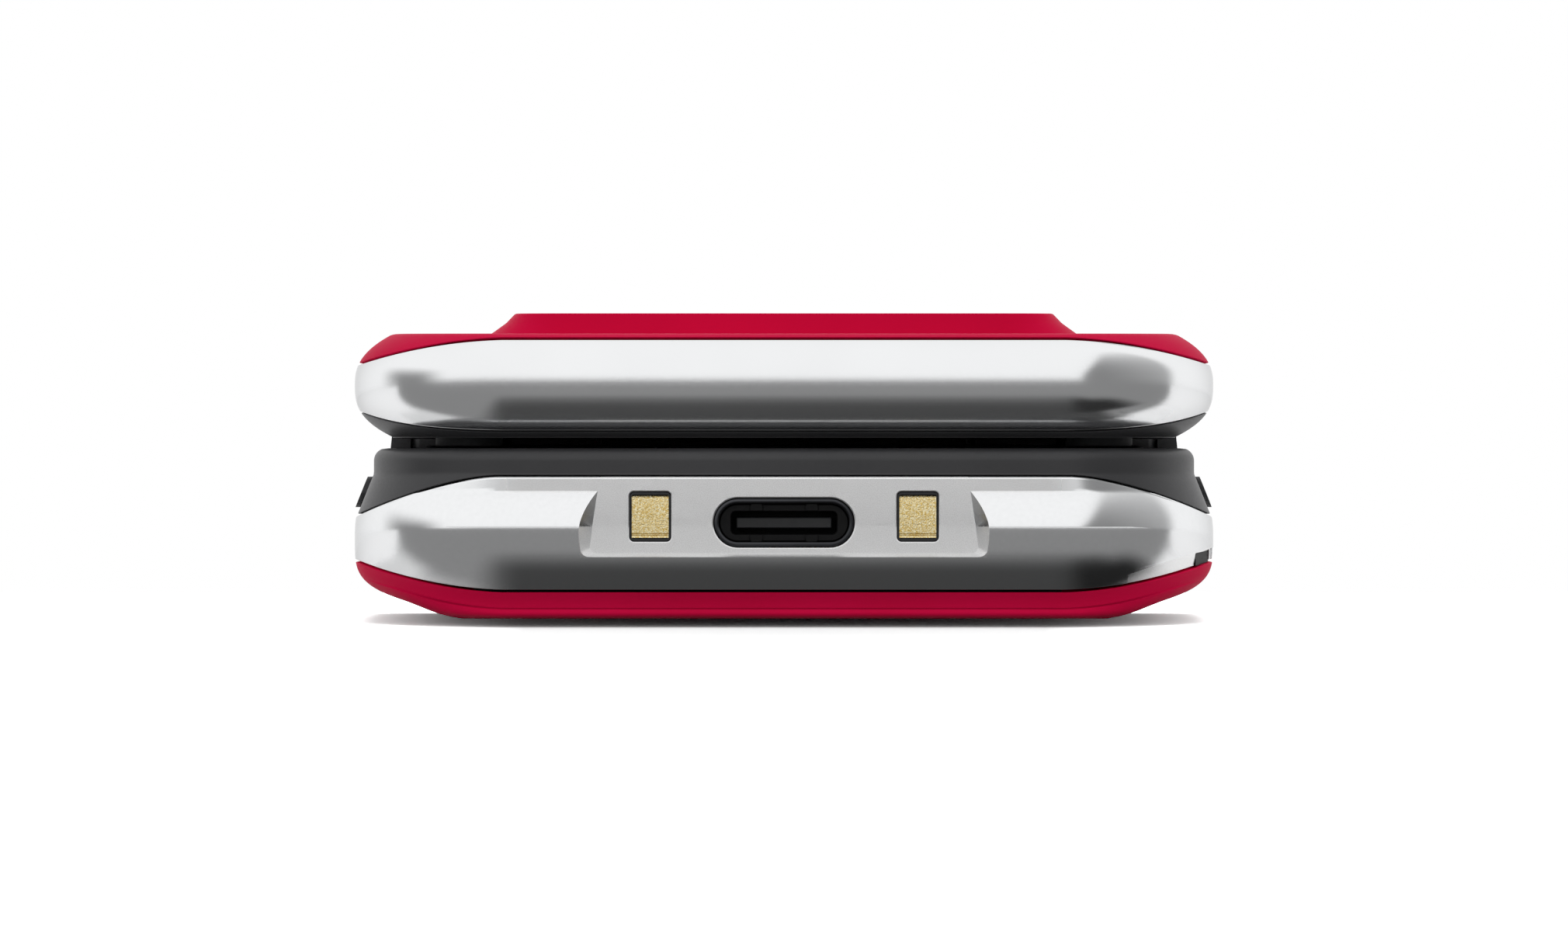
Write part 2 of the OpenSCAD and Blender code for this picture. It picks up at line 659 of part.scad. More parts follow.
module lid_cover() {
  island_line = outline(island_w / 2, island_y - island_l / 2, island_y + island_l / 2, 5, 5);
  color("crimson") difference() {
    union() {
      skin(wall(lid_line, function (s) seam_height(s, cover_seam, lid_inset, 1), function (s) lid_top,
        lid_inset, lid_inner_inset));
      plate(lid_line, lid_inner_inset, lid_top - cover_t, lid_top);
      island(island_line);
      at_screws(lid_screw_y) rod([0, 0], 1.7, lid_low + 2.1, lid_top - cover_t + 0.2);
    }
    slab([0, outer_window_y], outer_window_size + 2 * [slip, slip], 3, lid_top + island_h - 1,
      lid_top + island_h + 1);
    slab([0, outer_window_y], outer_window_size - [2.4, 2.4], 2, lid_top - 2, lid_top + 1);
    rod(camera_pos, camera_hole_r, lid_top - 2, lid_top + island_h + 1);
    rod(led_pos, led_hole_r, lid_top - 2, lid_top + island_h + 1);
    at_screws(lid_screw_y) rod([0, 0], 0.75, lid_low, lid_top - cover_t - 0.5);
  }
}

// The island's slopes, as [height, inset]. The slope that faces the port end stands steeper.
module island(line) {
  levels = [[-0.4, 0], [0, 0], [island_h * 0.52, 0.98], [island_h * 0.97, 1.6], [island_h, 1.7]];
  front_share = 0.12;
  n = len(line);
  rows = len(levels);
  share = function (s) mid(1, front_share, facing_port(s));
  points = [for (l = levels) for (s = line) concat(inset_point(s, l[1] * share(s)), [lid_top + l[0]])];
  polyhedron(points, concat([[for (i = [0 : n - 1]) i]],
    [for (j = [0 : rows - 2]) for (i = [0 : n - 1])
      let (a = j * n + i, b = j * n + (i + 1) % n) [a, a + n, b + n, b]],
    [[for (i = [n - 1 : -1 : 0]) (rows - 1) * n + i]]));
}

module outer_window() {
  color("#101014") slab([0, outer_window_y], outer_window_size, 2.95, lid_top + island_h - 0.95,
    lid_top + island_h);
}

module outer_display() {
  color("#0c0c10") slab([0, outer_window_y], outer_window_size - [3, 3], 1, lid_top - 2.2, lid_top + 0.3);
}

module camera() {
  housing = [8.4, 8.4];
  color("#16161a") difference() {
    union() {
      slab(camera_pos, housing, 0.8, lid_board_z + 0.65, lid_top - cover_t - 0.1);
      rod(camera_pos, camera_hole_r - slip, lid_top - cover_t - 0.2, lid_top + island_h - 0.04);
    }
    translate([camera_pos[0], camera_pos[1], lid_top + island_h - 1.1]) cylinder(r1 = 1.5, r2 = 3.2, h = 1.2);
  }
}

module flash_led() {
  color("lightyellow") {
    slab(led_pos, [3.4, 3.4], 0.3, lid_board_z + 0.65, lid_top - cover_t - 0.1);
    rod(led_pos, led_hole_r - slip, lid_top - cover_t - 0.2, lid_top + island_h - 0.06);
  }
}

module main_window() {
  color("#101014") slab([0, window_y], window_size, 2, lid_low + 0.08, lid_low + 0.9);
}

module main_display() {
  color("#0c0c10") slab([0, window_y], window_size - [1, 1], 1, lid_low + 0.95, lid_low + 2.75);
}

module earpiece() {
  color("#303030") {
    slab(earpiece_pos, [14, 5.4], 1.5, lid_low + frame_t + 0.03, lid_low + 3.2);
    slab(earpiece_pos, earpiece_slot - [0.4, 0.4], 0.55, lid_low + 0.35, lid_low + frame_t + 0.1);
  }
}

module lid_board() {
  color("darkgreen") slab([0, -4.5], [44, 77], 3, lid_board_z, lid_board_z + 0.6);
}

module lid_screws() {
  head_z = lid_low + 0.55;
  color("dimgray") at_screws(lid_screw_y) difference() {
    union() {
      rod([0, 0], 1.5, head_z, lid_low + 1.38);
      rod([0, 0], 0.7, head_z, lid_low + 5);
    }
    block([-0.9, 0.9], [-0.2, 0.2], [head_z - 1, head_z + 0.5]);
    block([-0.2, 0.2], [-0.9, 0.9], [head_z - 1, head_z + 0.5]);
  }
}

module bumpers() {
  color("#2a2a2a") at_screws(lid_screw_y) rod([0, 0], 2.2, base_h + 0.12, lid_low + 0.48);
}

module hinge_can() {
  color("silver") difference() {
    axis_rod(2.97, -barrel_half + 0.1, 2.9);
    axis_rod(2.4, -barrel_half + 1, 2);
    axis_rod(1.25, -barrel_half - 1, 2);
  }
}

module hinge_spring() {
  turns = 7;
  wire_r = 0.28;
  coil_r = 1.85;
  x0 = -10.8;
  pitch = 1.65;
  steps = 12;
  sides = 6;
  ring_at = function (k) let (a = 360 * k / steps)
    [for (i = [0 : sides - 1]) let (b = -360 * i / sides, r = coil_r + wire_r * cos(b))
      [x0 + pitch * k / steps + wire_r * sin(b), axis_y + r * cos(a), axis_z + r * sin(a)]];
  last = turns * steps;
  color("lightgray") polyhedron([for (k = [0 : last]) each ring_at(k)], concat(
    [[for (i = [0 : sides - 1]) i]],
    [for (k = [0 : last - 1]) for (i = [0 : sides - 1])
      let (a = k * sides + i, b = k * sides + (i + 1) % sides)
      each [[a, a + sides, b + sides], [a, b + sides, b]]],
    [[for (i = [sides - 1 : -1 : 0]) last * sides + i]]));
}

battery_cover();
base_band();
keypad_deck();
chassis();
main_board();
shield_cans();
dome_sheet();
usb_shell();
usb_tongue();
charging_contacts();
contact_carriers();
battery();
battery_terminals();
sim_holder();
loudspeaker();
microphone();
vibration_motor();
antenna();
base_screws();
side_switches();
hinge_cam();
hinge_pin();
hinge_caps();
hinge_flex();
nav_ring();
ok_key();
lid_band();
lid_frame();
lid_cover();
outer_window();
outer_display();
camera();
flash_led();
main_window();
main_display();
earpiece();
lid_board();
lid_screws();
bumpers();
hinge_can();
hinge_spring();
for (k = flat_keys) flat_key(k);
for (k = side_keys) side_button(k);
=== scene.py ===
import json
from math import cos, pi, radians, sin
import bpy
import numpy as np
from mathutils import Matrix


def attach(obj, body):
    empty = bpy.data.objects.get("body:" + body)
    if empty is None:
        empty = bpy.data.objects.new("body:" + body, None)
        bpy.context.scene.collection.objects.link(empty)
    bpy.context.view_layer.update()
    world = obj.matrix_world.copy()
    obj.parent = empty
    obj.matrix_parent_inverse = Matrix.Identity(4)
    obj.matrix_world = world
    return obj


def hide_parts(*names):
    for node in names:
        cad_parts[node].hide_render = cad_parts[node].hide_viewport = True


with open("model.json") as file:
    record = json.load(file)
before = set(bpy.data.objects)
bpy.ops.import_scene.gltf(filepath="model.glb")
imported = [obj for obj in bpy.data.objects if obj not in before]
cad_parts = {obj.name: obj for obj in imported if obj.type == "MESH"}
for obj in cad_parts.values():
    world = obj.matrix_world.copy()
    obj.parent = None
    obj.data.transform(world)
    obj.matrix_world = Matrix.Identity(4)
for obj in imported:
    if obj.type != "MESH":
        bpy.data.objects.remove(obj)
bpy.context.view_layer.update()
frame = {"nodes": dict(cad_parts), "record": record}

# Flip phone, closed, looked at straight on its port end. Sizes are in millimetres until a mesh is made.
mm = 0.001
panelY = -53.9
print("frame loaded,", len(frame["nodes"]), "nodes")


def linear(hexText):  # sRGB hex to linear, with alpha
    parts = [int(hexText[i:i + 2], 16) / 255 for i in (1, 3, 5)]
    return tuple(p / 12.92 if p < 0.04045 else ((p + 0.055) / 1.055) ** 2.4 for p in parts) + (1,)


def addNode(tree, kind, inputs=None, family="ShaderNode", **settings):
    added = tree.nodes.new(family + kind)
    for name, value in settings.items():
        setattr(added, name, value)
    for name, value in (inputs or {}).items():
        if isinstance(value, bpy.types.NodeSocket):
            tree.links.new(value, added.inputs[name])
        else:
            added.inputs[name].default_value = value
    return added


# ---- finishes

def startMaterial(name):
    # an empty material, its tree and the place on the object
    material = bpy.data.materials.new(name)
    material.use_nodes = True
    tree = material.node_tree
    tree.nodes.clear()
    return material, tree, addNode(tree, "TexCoord").outputs["Object"]


def showSurface(tree, shader):
    addNode(tree, "OutputMaterial", {"Surface": shader.outputs[0]})


def mathNode(tree, operation, *values):
    return addNode(tree, "Math", dict(enumerate(values)), operation=operation).outputs[0]


def allOf(tree, masks):
    total = masks[0]
    for mask in masks[1:]:
        total = mathNode(tree, "MULTIPLY", total, mask)
    return total


def noise(tree, place, scale, detail):
    return addNode(tree, "TexNoise", {"Vector": place, "Scale": scale, "Detail": detail}).outputs[0]


def blendColors(tree, share, first, second):
    return addNode(tree, "Mix", {0: share, 6: first, 7: second}, data_type="RGBA").outputs[2]


def remap(tree, value, start=(0, 1), end=(0, 1), **settings):
    return addNode(tree, "MapRange", {"Value": value, "From Min": start[0], "From Max": start[1],
        "To Min": end[0], "To Max": end[1]}, **settings).outputs[0]


def makeFinish(name, color, tint, roughness, grain, bump, spread=0.04, patch=9, stretch=(1, 1, 1), shader=None):
    # color drifts to tint in patches; grain and bump are millimetres, and the grain also moves the roughness
    material, tree, place = startMaterial(name)
    drawn = addNode(tree, "Mapping", {"Vector": place, "Scale": stretch}).outputs[0]
    fine = noise(tree, drawn, 1 / (grain * mm), 3)
    drift = remap(tree, noise(tree, place, 1 / (patch * mm), 2), (0.35, 0.65))
    paint = blendColors(tree, drift, linear(color), linear(tint))
    gloss = remap(tree, fine, (0.25, 0.75), (roughness - spread, roughness + spread))
    relief = addNode(tree, "Bump", {"Height": fine, "Strength": 1, "Distance": bump * mm}).outputs[0]
    inputs = {"Base Color": paint, "Roughness": gloss, "Normal": relief}
    inputs.update(shader or {})
    showSurface(tree, addNode(tree, "BsdfPrincipled", inputs))
    return material


metal = {"Metallic": 1.0}
lacqueredMetal = {"Metallic": 1.0, "Specular Tint": (0.75, 0.75, 0.75, 1)}
satinLacquer = {"Specular IOR Level": 0.03}
finishes = {
    # crimson lacquer over moulded ABS, sprayed satin: saturated, with a low sheen
    "red_shell": makeFinish("crimsonLacquer", "#E6104B", "#E00F48", 0.5, 0.11, 0.0016, shader=satinLacquer),
    # silver metallic lacquer over ABS, polished: the flakes glint where light meets dark
    "silver_trim": makeFinish("silverLacquer", "#F2F3F4", "#EFF0F1", 0.16, 0.07, 0.0009, spread=0.03,
        shader=lacqueredMetal),
    # black ABS with a fine spark-eroded texture
    "black_shell": makeFinish("satinBlackShell", "#3B3B3D", "#363638", 0.42, 0.14, 0.003),
    "inner_plastic": makeFinish("glassFilledNylon", "#202123", "#292A2C", 0.5, 0.3, 0.006),
    "circuit_board": makeFinish("solderMaskedBoard", "#0C3B22", "#0F4A2A", 0.35, 0.8, 0.01),
    "spring_steel": makeFinish("temperedSpringSteel", "#B9BCC0", "#A6A9AE", 0.28, 0.2, 0.002,
        stretch=(1, 12, 12), shader=metal),
    "dark_steel": makeFinish("blackenedSteel", "#4A4B4E", "#3C3D40", 0.32, 0.25, 0.003, shader=metal),
    # gold over bronze, with a coarse stamped grain; its colour is painted in fine pale and dark specks, painted
    # highlight and shade for the grain's bumps and pits
    "gold_plate": makeFinish("goldPlatedBronze", "#FFF4CC", "#DDBB66", 0.28, 0.08, 0.03, patch=0.1, shader=metal),
    "battery_wrap": makeFinish("batteryWrap", "#C9CBCE", "#BEC0C4", 0.38, 0.5, 0.004),
    "key_plastic": makeFinish("satinKeyPlastic", "#2A2B2E", "#242528", 0.38, 0.12, 0.002),
    "window_glass": makeFinish("hardCoatedGlass", "#060709", "#08090B", 0.04, 2.5, 0.0004, spread=0.01,
        shader={"Coat Weight": 1.0, "Coat Roughness": 0.02}),
    "display": makeFinish("darkDisplay", "#0B0C10", "#0E1015", 0.12, 0.3, 0.001),
    "lens": makeFinish("lensBarrel", "#121214", "#1A1A1D", 0.2, 0.3, 0.002),
    "led_lens": makeFinish("phosphorLens", "#F2E7A8", "#EADB8E", 0.25, 0.3, 0.01),
    "soft_rubber": makeFinish("siliconeRubber", "#2C2D2F", "#343537", 0.6, 0.15, 0.004),
    "flex_film": makeFinish("polyimideFilm", "#B4701E", "#A5641A", 0.3, 0.5, 0.002),
}
# painted light: the lower cover gets a brighter copy of the crimson lacquer, so that its port-end bead looks lit
brightenedCoverFinish = makeFinish("crimsonLacquerPaintedBrighter", "#FA1252", "#F4114E", 0.5, 0.11, 0.0016, shader=satinLacquer)
portBlack = makeFinish("portInsulator", "#0B0B0C", "#0E0E0F", 0.5, 0.2, 0.002, shader={"Specular IOR Level": 0.2})
lensGlass = makeFinish("coatedLensGlass", "#0A0B14", "#140C1C", 0.03, 2, 0.0002, spread=0.01, patch=1.5,
    shader={"Coat Weight": 1.0})
inks = {
    "white": makeFinish("whiteKeyInk", "#E6E7E8", "#DCDDDF", 0.45, 0.2, 0.001),
    "green": makeFinish("greenKeyInk", "#2FA84F", "#2B9A49", 0.45, 0.2, 0.001),
    "red": makeFinish("redKeyInk", "#D22A35", "#C72430", 0.45, 0.2, 0.001),
    "dark": makeFinish("darkKeyInk", "#2A2B2E", "#242528", 0.45, 0.2, 0.001),
}

# Where the base band is satin: each pair is a ramp from polished to satin, in millimetres.
satinZones = dict(stripLow=(8.1, 8.35), stripHigh=(9.19, 9.16), stripEnd=(18.8, 17.2), lip=(4.24, 4.26),
    wall=(13.32, 13.29), scoop=(4.47, 4.53), scoopEdge=(22.3, 22.4), front=(-43, -45))
# Rise or run per millimetre of the recess's lip, of its walls with depth and with height, and of the scoop's floor.
satinSlopes = dict(lip=-0.39, wall=0.78, lean=0.14, scoop=0.33)


def makeBandFinish(zones, slopes):
    # the same lacquer, with the port panel, the strip above the bulge and the nail scoop left satin and grainy
    material, tree, place = startMaterial("silverLacquerBand")
    x, y, z = addNode(tree, "SeparateXYZ", {0: place}).outputs
    across = mathNode(tree, "ABSOLUTE", x)
    def zone(value, name):
        low, high = zones[name]
        return remap(tree, value, (low * mm, high * mm), interpolation_type="SMOOTHSTEP")
    def slope(value, name):
        return mathNode(tree, "MULTIPLY", value, slopes[name])
    def either(first, second):
        return mathNode(tree, "MAXIMUM", first, second)
    def add(first, second):
        return mathNode(tree, "ADD", first, second)
    strip = allOf(tree, [zone(z, "stripLow"), zone(z, "stripHigh"), zone(across, "stripEnd")])
    depth = add(y, -panelY * mm)
    reach = add(add(across, slope(depth, "wall")), slope(z, "lean"))
    panel = allOf(tree, [zone(add(z, slope(depth, "lip")), "lip"), zone(reach, "wall")])
    scoop = allOf(tree, [zone(mathNode(tree, "SUBTRACT", slope(x, "scoop"), z), "scoop"), zone(x, "scoopEdge"), 0.7])
    satin = allOf(tree, [either(either(strip, panel), scoop), zone(y, "front")])
    flakes = noise(tree, place, 1 / (0.055 * mm), 2)
    coarse = noise(tree, place, 1 / (0.3 * mm), 2)
    gloss = add(mathNode(tree, "MULTIPLY", flakes, 0.06), remap(tree, satin, end=(0.14, 0.36)))
    relief = addNode(tree, "Bump", {"Height": flakes, "Strength": 1,
        "Distance": remap(tree, satin, end=(0.0004 * mm, 0.0032 * mm))}).outputs[0]
    polished = blendColors(tree, coarse, linear("#EEEFF0"), linear("#F4F5F6"))
    grainy = blendColors(tree, remap(tree, flakes, (0.4, 0.6)), linear("#EFEFEF"), linear("#FFFFFF"))
    tone = blendColors(tree, satin, polished, grainy)
    showSurface(tree, addNode(tree, "BsdfPrincipled", {"Base Color": tone, "Roughness": gloss,
        "Normal": relief, **lacqueredMetal}))
    return material


bandFinish = makeBandFinish(satinZones, satinSlopes)
print("finishes made,", len(finishes))


# ---- outlines and sections

seamGap = 0.08
base = dict(halfWidth=28, front=-55, rear=55, frontRadius=9.7, rearRadius=9.7)
lid = dict(halfWidth=28, front=-55, rear=42.1, frontRadius=9.7, rearRadius=4)
baseTop, lidLow, lidTop = 11.1, 11.77, 18.56
hingeY, hingeZ = 48.6, 12.4
hinge = (0, hingeY, hingeZ)


def outline(halfWidth, front, rear, frontRadius, rearRadius, steps=30):
    # rows of corner centre, corner radius and direction, once round from the right front corner
    frontX, frontY = halfWidth - frontRadius, front + frontRadius
    rearX, rearY = halfWidth - rearRadius, rear - rearRadius
    corners = [(frontX, frontY, frontRadius), (rearX, rearY, rearRadius), (-rearX, rearY, rearRadius),
        (-frontX, frontY, frontRadius)]
    return np.array([(x, y, r, radians(90 * (n - 1) + 90 * k / steps))
        for n, (x, y, r) in enumerate(corners) for k in range(steps + 1)])


baseLine = outline(**base)
lidLine = outline(**lid)


def insetRing(line, inset, height):
    reach = line[:, 2] - inset
    return np.column_stack([line[:, 0] + reach * np.cos(line[:, 3]), line[:, 1] + reach * np.sin(line[:, 3]),
        np.zeros(len(line)) + height])


def facingFront(line):
    # 1 on the port end, falling to 0 round its corners
    return np.maximum(0, -np.sin(line[:, 3])) ** 2


def lidInset(line, z):
    widest = 15.2 + 0.45 * facingFront(line)
    up, down = np.clip((z - widest) / (lidTop - widest), 0, 1), np.clip((widest - z) / (widest - lidLow), 0, 1)
    return 2.5 * up ** 2.58 + 2.6 * down ** 2.8


def baseInset(line, z):
    side = 1.2 * np.clip((z - 5.4) / 4.04, 0, 2) ** 2.2 + 9.3 * np.clip((5.4 - z) / 5.4, 0, 1) ** 4.3
    front = (1.1 * np.clip((z - 5.9) / 2.4, 0, 1) ** 1.9 + 1.6 * np.clip((5.9 - z) / 4.05, 0, 2) ** 1.6
        + 2.2 * np.clip(1 - z / 1.85, 0, 1) ** 2.4)
    return side + (front - side) * facingFront(line)


def deckInset(line, z):
    rounding = 0.8 * (1 - np.sqrt(1 - np.clip((z - 10.3) / 0.8, 0, 1) ** 2))
    return 0.15 + 1.1 * np.minimum(1, (z - 6.7) / 2.74) + rounding


seams = {  # height at the middle, half width of the level stretch, rise at the sides, power
    "cover": (18.25, 17.5, -1.76, 2),
    "frame": (12.17, 0, 1.52, 8.5),
    "deck": (9.3, 18.7, -2.65, 1.6),
    "floor": (1.85, 17.5, 2.02, 2),
}


def seamHeight(line, name, insetAt, side):
    # one edge of a seam: side is 1 for the piece above it and -1 for the one below
    middle, level, rise, power = seams[name]
    def at(x):
        return middle + rise * (np.maximum(0, abs(x) - level) / (base["halfWidth"] - level)) ** power
    first = at(insetRing(line, 1, 0)[:, 0])
    return at(insetRing(line, insetAt(line, first), 0)[:, 0]) + side * seamGap / 2


def wallRings(line, low, high, insetAt, rows, edge, topEdge=None):
    # a wall between two heights, with rounded edges and its rows closer together near them
    rings = []
    topEdge = topEdge or edge
    foot, head = low + edge, high - topEdge
    for turn in np.radians([0, 30, 60]):
        inset = insetAt(line, foot) + edge * (1 - sin(turn))
        rings.append(insetRing(line, inset, low + edge * (1 - cos(turn))))
    for k in range(rows + 1):
        z = foot + (head - foot) * (1 - cos(pi * k / rows)) / 2
        rings.append(insetRing(line, insetAt(line, z), z))
    for turn in np.radians([30, 60, 90]):
        inset = insetAt(line, head) + topEdge * (1 - cos(turn))
        rings.append(insetRing(line, inset, head + topEdge * sin(turn)))
    return rings


# ---- mesh tools

def addObject(name, data):
    made = bpy.data.objects.new(name, data)
    bpy.context.collection.objects.link(made)
    return made


def newMesh(name, points, faces):
    mesh = bpy.data.meshes.new(name)
    mesh.from_pydata((np.asarray(points) * mm).tolist(), [], faces)
    return addObject(name, mesh)


def coat(thing, material):
    thing.data.materials.clear()
    thing.data.materials.append(material)


def evaluated(thing):
    return bpy.data.meshes.new_from_object(thing.evaluated_get(bpy.context.evaluated_depsgraph_get()))


def loft(name, rings, closed=False):
    # skin over rings of equal length; open lofts get flat ends
    n, m = len(rings[0]), len(rings)
    faces = [(j * n + i, j * n + (i + 1) % n, (j + 1) % m * n + (i + 1) % n, (j + 1) % m * n + i)
        for j in range(m if closed else m - 1) for i in range(n)]
    if not closed:
        faces += [tuple(reversed(range(n))), tuple(range((m - 1) * n, m * n))]
    return newMesh(name, np.vstack(rings), faces)


def prism(name, plan, low, high):
    return loft(name, [[(x, y, z) for x, y in plan] for z in (low, high)])


def crossBar(name, section, halfWidth):
    # a bar along X with a section given as (y, z)
    return loft(name, [[(x, y, z) for y, z in section] for x in (-halfWidth, halfWidth)])


def roundedRect(width, depth, radius, steps=8):
    x, y = width / 2 - radius, depth / 2 - radius
    return np.array([(sx * x + radius * cos(a), sy * y + radius * sin(a))
        for n, (sx, sy) in enumerate([(1, 1), (-1, 1), (-1, -1), (1, -1)])
        for a in np.radians(90 * n + np.linspace(0, 90, steps + 1))])


def paired(levels):
    return [level if isinstance(level, tuple) else (level, 0) for level in levels]


def slab(name, centre, size, radius, levels, steps=8, axis="Z"):
    # rounded rectangles at rising levels: each a place along the axis, or that and how much the outline grows
    rings = []
    for along, grow in paired(levels):
        plan = roundedRect(size[0] + 2 * grow, size[1] + 2 * grow, max(radius + grow, 0.02), steps) + centre
        u, v, w = plan[:, 0], plan[:, 1], np.full(len(plan), float(along))
        rings.append(np.column_stack({"Z": (u, v, w), "Y": (u, w, v), "X": (w, u, v)}[axis]))
    return loft(name, rings[::-1] if axis == "Y" else rings)


def turned(name, profile, centre, steps=64, axis="Z"):
    # profile: (radius, place along the axis), with the axis running up or across
    a = np.linspace(0, 2 * pi, steps, endpoint=False)
    rings = []
    for radius, along in profile:
        u, v, w = radius * np.cos(a), radius * np.sin(a), np.full(steps, float(along))
        rings.append(np.column_stack([u, v, w] if axis == "Z" else [w, u, v]) + centre)
    return loft(name, rings)


def mirrorLevels(levels, side):
    return levels if side > 0 else [(-along, grow) for along, grow in paired(levels[::-1])]


def join(name, things):
    with bpy.context.temp_override(active_object=things[0], selected_editable_objects=things,
            selected_objects=things):
        bpy.ops.object.join()
    things[0].name = name
    return things[0]


def settle(thing):
    # turns live modifiers into plain mesh
    plain = evaluated(thing)
    thing.modifiers.clear()
    old, thing.data = thing.data, plain
    bpy.data.meshes.remove(old)
    return thing


def plus(cutter):
    return "UNION", cutter


def minus(cutter):
    return "DIFFERENCE", cutter


def within(cutter):
    return "INTERSECT", cutter


def carve(thing, *cuts):
    # the cuts are made in order, each by plus, minus or within
    for operation, cutter in cuts:
        change = thing.modifiers.new("carve", "BOOLEAN")
        change.operation, change.object, change.solver = operation, cutter, "EXACT"
    settle(thing)
    for _, cutter in cuts:
        bpy.data.objects.remove(cutter)
    return thing


def mirrored(thing, name):
    twin = addObject(name, thing.data.copy())
    twin.data.transform(Matrix.Scale(-1, 4, (1, 0, 0)))
    twin.data.flip_normals()
    return twin


def bevelEdges(thing, width, angle, segments):
    change = thing.modifiers.new("round", "BEVEL")
    change.width, change.segments = width * mm, segments
    change.limit_method, change.angle_limit = "ANGLE", radians(angle)
    change.harden_normals = False
    return settle(thing)


def geometryTree(name, sockets):
    tree = bpy.data.node_groups.new(name, "GeometryNodeTree")
    for label, kind in sockets.items():
        tree.interface.new_socket(label, in_out="INPUT", socket_type="NodeSocket" + kind)
    tree.interface.new_socket("Geometry", in_out="OUTPUT", socket_type="NodeSocketGeometry")
    return tree, addNode(tree, "GroupInput", family="Node").outputs


def geometryNode(tree, kind, **inputs):
    named = {name.replace("_", " "): value for name, value in inputs.items()}
    return addNode(tree, kind, named, "GeometryNode").outputs[0]


def endTree(tree, geometry, finish):
    plain = geometryNode(tree, "RealizeInstances", Geometry=geometry)
    coated = geometryNode(tree, "SetMaterial", Geometry=plain, Material=finish)
    addNode(tree, "GroupOutput", {0: coated}, "Node")
    return tree


def makeGridTree():
    # copies of one part on a level grid
    tree, given = geometryTree("repeatOnGrid", dict(Part="Object", Columns="Int", Rows="Int", Width="Float",
        Length="Float", Centre="Vector", Finish="Material"))
    points = geometryNode(tree, "MeshGrid", Size_X=given["Width"], Size_Y=given["Length"],
        Vertices_X=given["Columns"], Vertices_Y=given["Rows"])
    placed = geometryNode(tree, "Transform", Geometry=points, Translation=given["Centre"])
    part = addNode(tree, "ObjectInfo", {"Object": given["Part"]}, "GeometryNode").outputs["Geometry"]
    return endTree(tree, geometryNode(tree, "InstanceOnPoints", Points=placed, Instance=part), given["Finish"])


def makeCoilTree():
    # a coil of round wire along X
    tree, given = geometryTree("coil", dict(Turns="Float", Radius="Float", Length="Float", Wire="Float",
        Start="Vector", Finish="Material"))
    path = geometryNode(tree, "CurveSpiral", Resolution=40, Rotations=given["Turns"], Start_Radius=given["Radius"],
        End_Radius=given["Radius"], Height=given["Length"])
    laid = geometryNode(tree, "Transform", Geometry=path, Translation=given["Start"], Rotation=(0, pi / 2, 0))
    wire = geometryNode(tree, "CurvePrimitiveCircle", Resolution=12, Radius=given["Wire"])
    coil = geometryNode(tree, "CurveToMesh", Curve=laid, Profile_Curve=wire, Fill_Caps=True)
    return endTree(tree, coil, given["Finish"])


def grow(name, tree, values):
    # evaluates a tree once and keeps plain mesh
    holder = newMesh(name, [(0, 0, 0)], [])
    change = holder.modifiers.new("tree", "NODES")
    change.node_group = tree
    for item in tree.interface.items_tree:
        if item.in_out == "INPUT":
            change[item.identifier] = values[item.name]
    return settle(holder)


def finishPiece(thing, ridesOn, nodes, slot, sharp=32, material=None, flatten=False):
    # flatten keeps large flat faces flat where smooth ones meet them
    coat(thing, material or finishes[slot])
    thing.data.shade_smooth()
    thing.data.set_sharp_from_angle(angle=radians(sharp))
    if flatten:
        change = thing.modifiers.new("flatten", "WEIGHTED_NORMAL")
        change.mode, change.weight, change.keep_sharp = "FACE_AREA", 50, True
        settle(thing)
    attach(thing, ridesOn)
    if nodes:
        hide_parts(*nodes)
    return thing


gridTree = makeGridTree()


def repeatPart(name, part, grid, ridesOn, nodes, slot):
    # grid: columns, rows, width, length and centre
    columns, rows, width, length, centre = grid
    made = grow(name, gridTree, {"Part": part, "Columns": columns, "Rows": rows, "Width": width * mm,
        "Length": length * mm, "Centre": [v * mm for v in centre], "Finish": finishes[slot]})
    bpy.data.objects.remove(part)
    finishPiece(made, ridesOn, nodes, slot)


# ---- lid

coverLook = dict(thickness=1.1, innerInset=2.7, edge=0.06, islandWidth=38.3, islandFront=-46, islandRear=18,
    islandHeight=1.34, islandCorner=5, windowCentre=(0, -24), windowSize=(28, 29), cameraPlace=(0, 6),
    cameraHole=4.35, ledPlace=(9.5, 6), ledHole=1.45)
islandTop = lidTop + coverLook["islandHeight"]


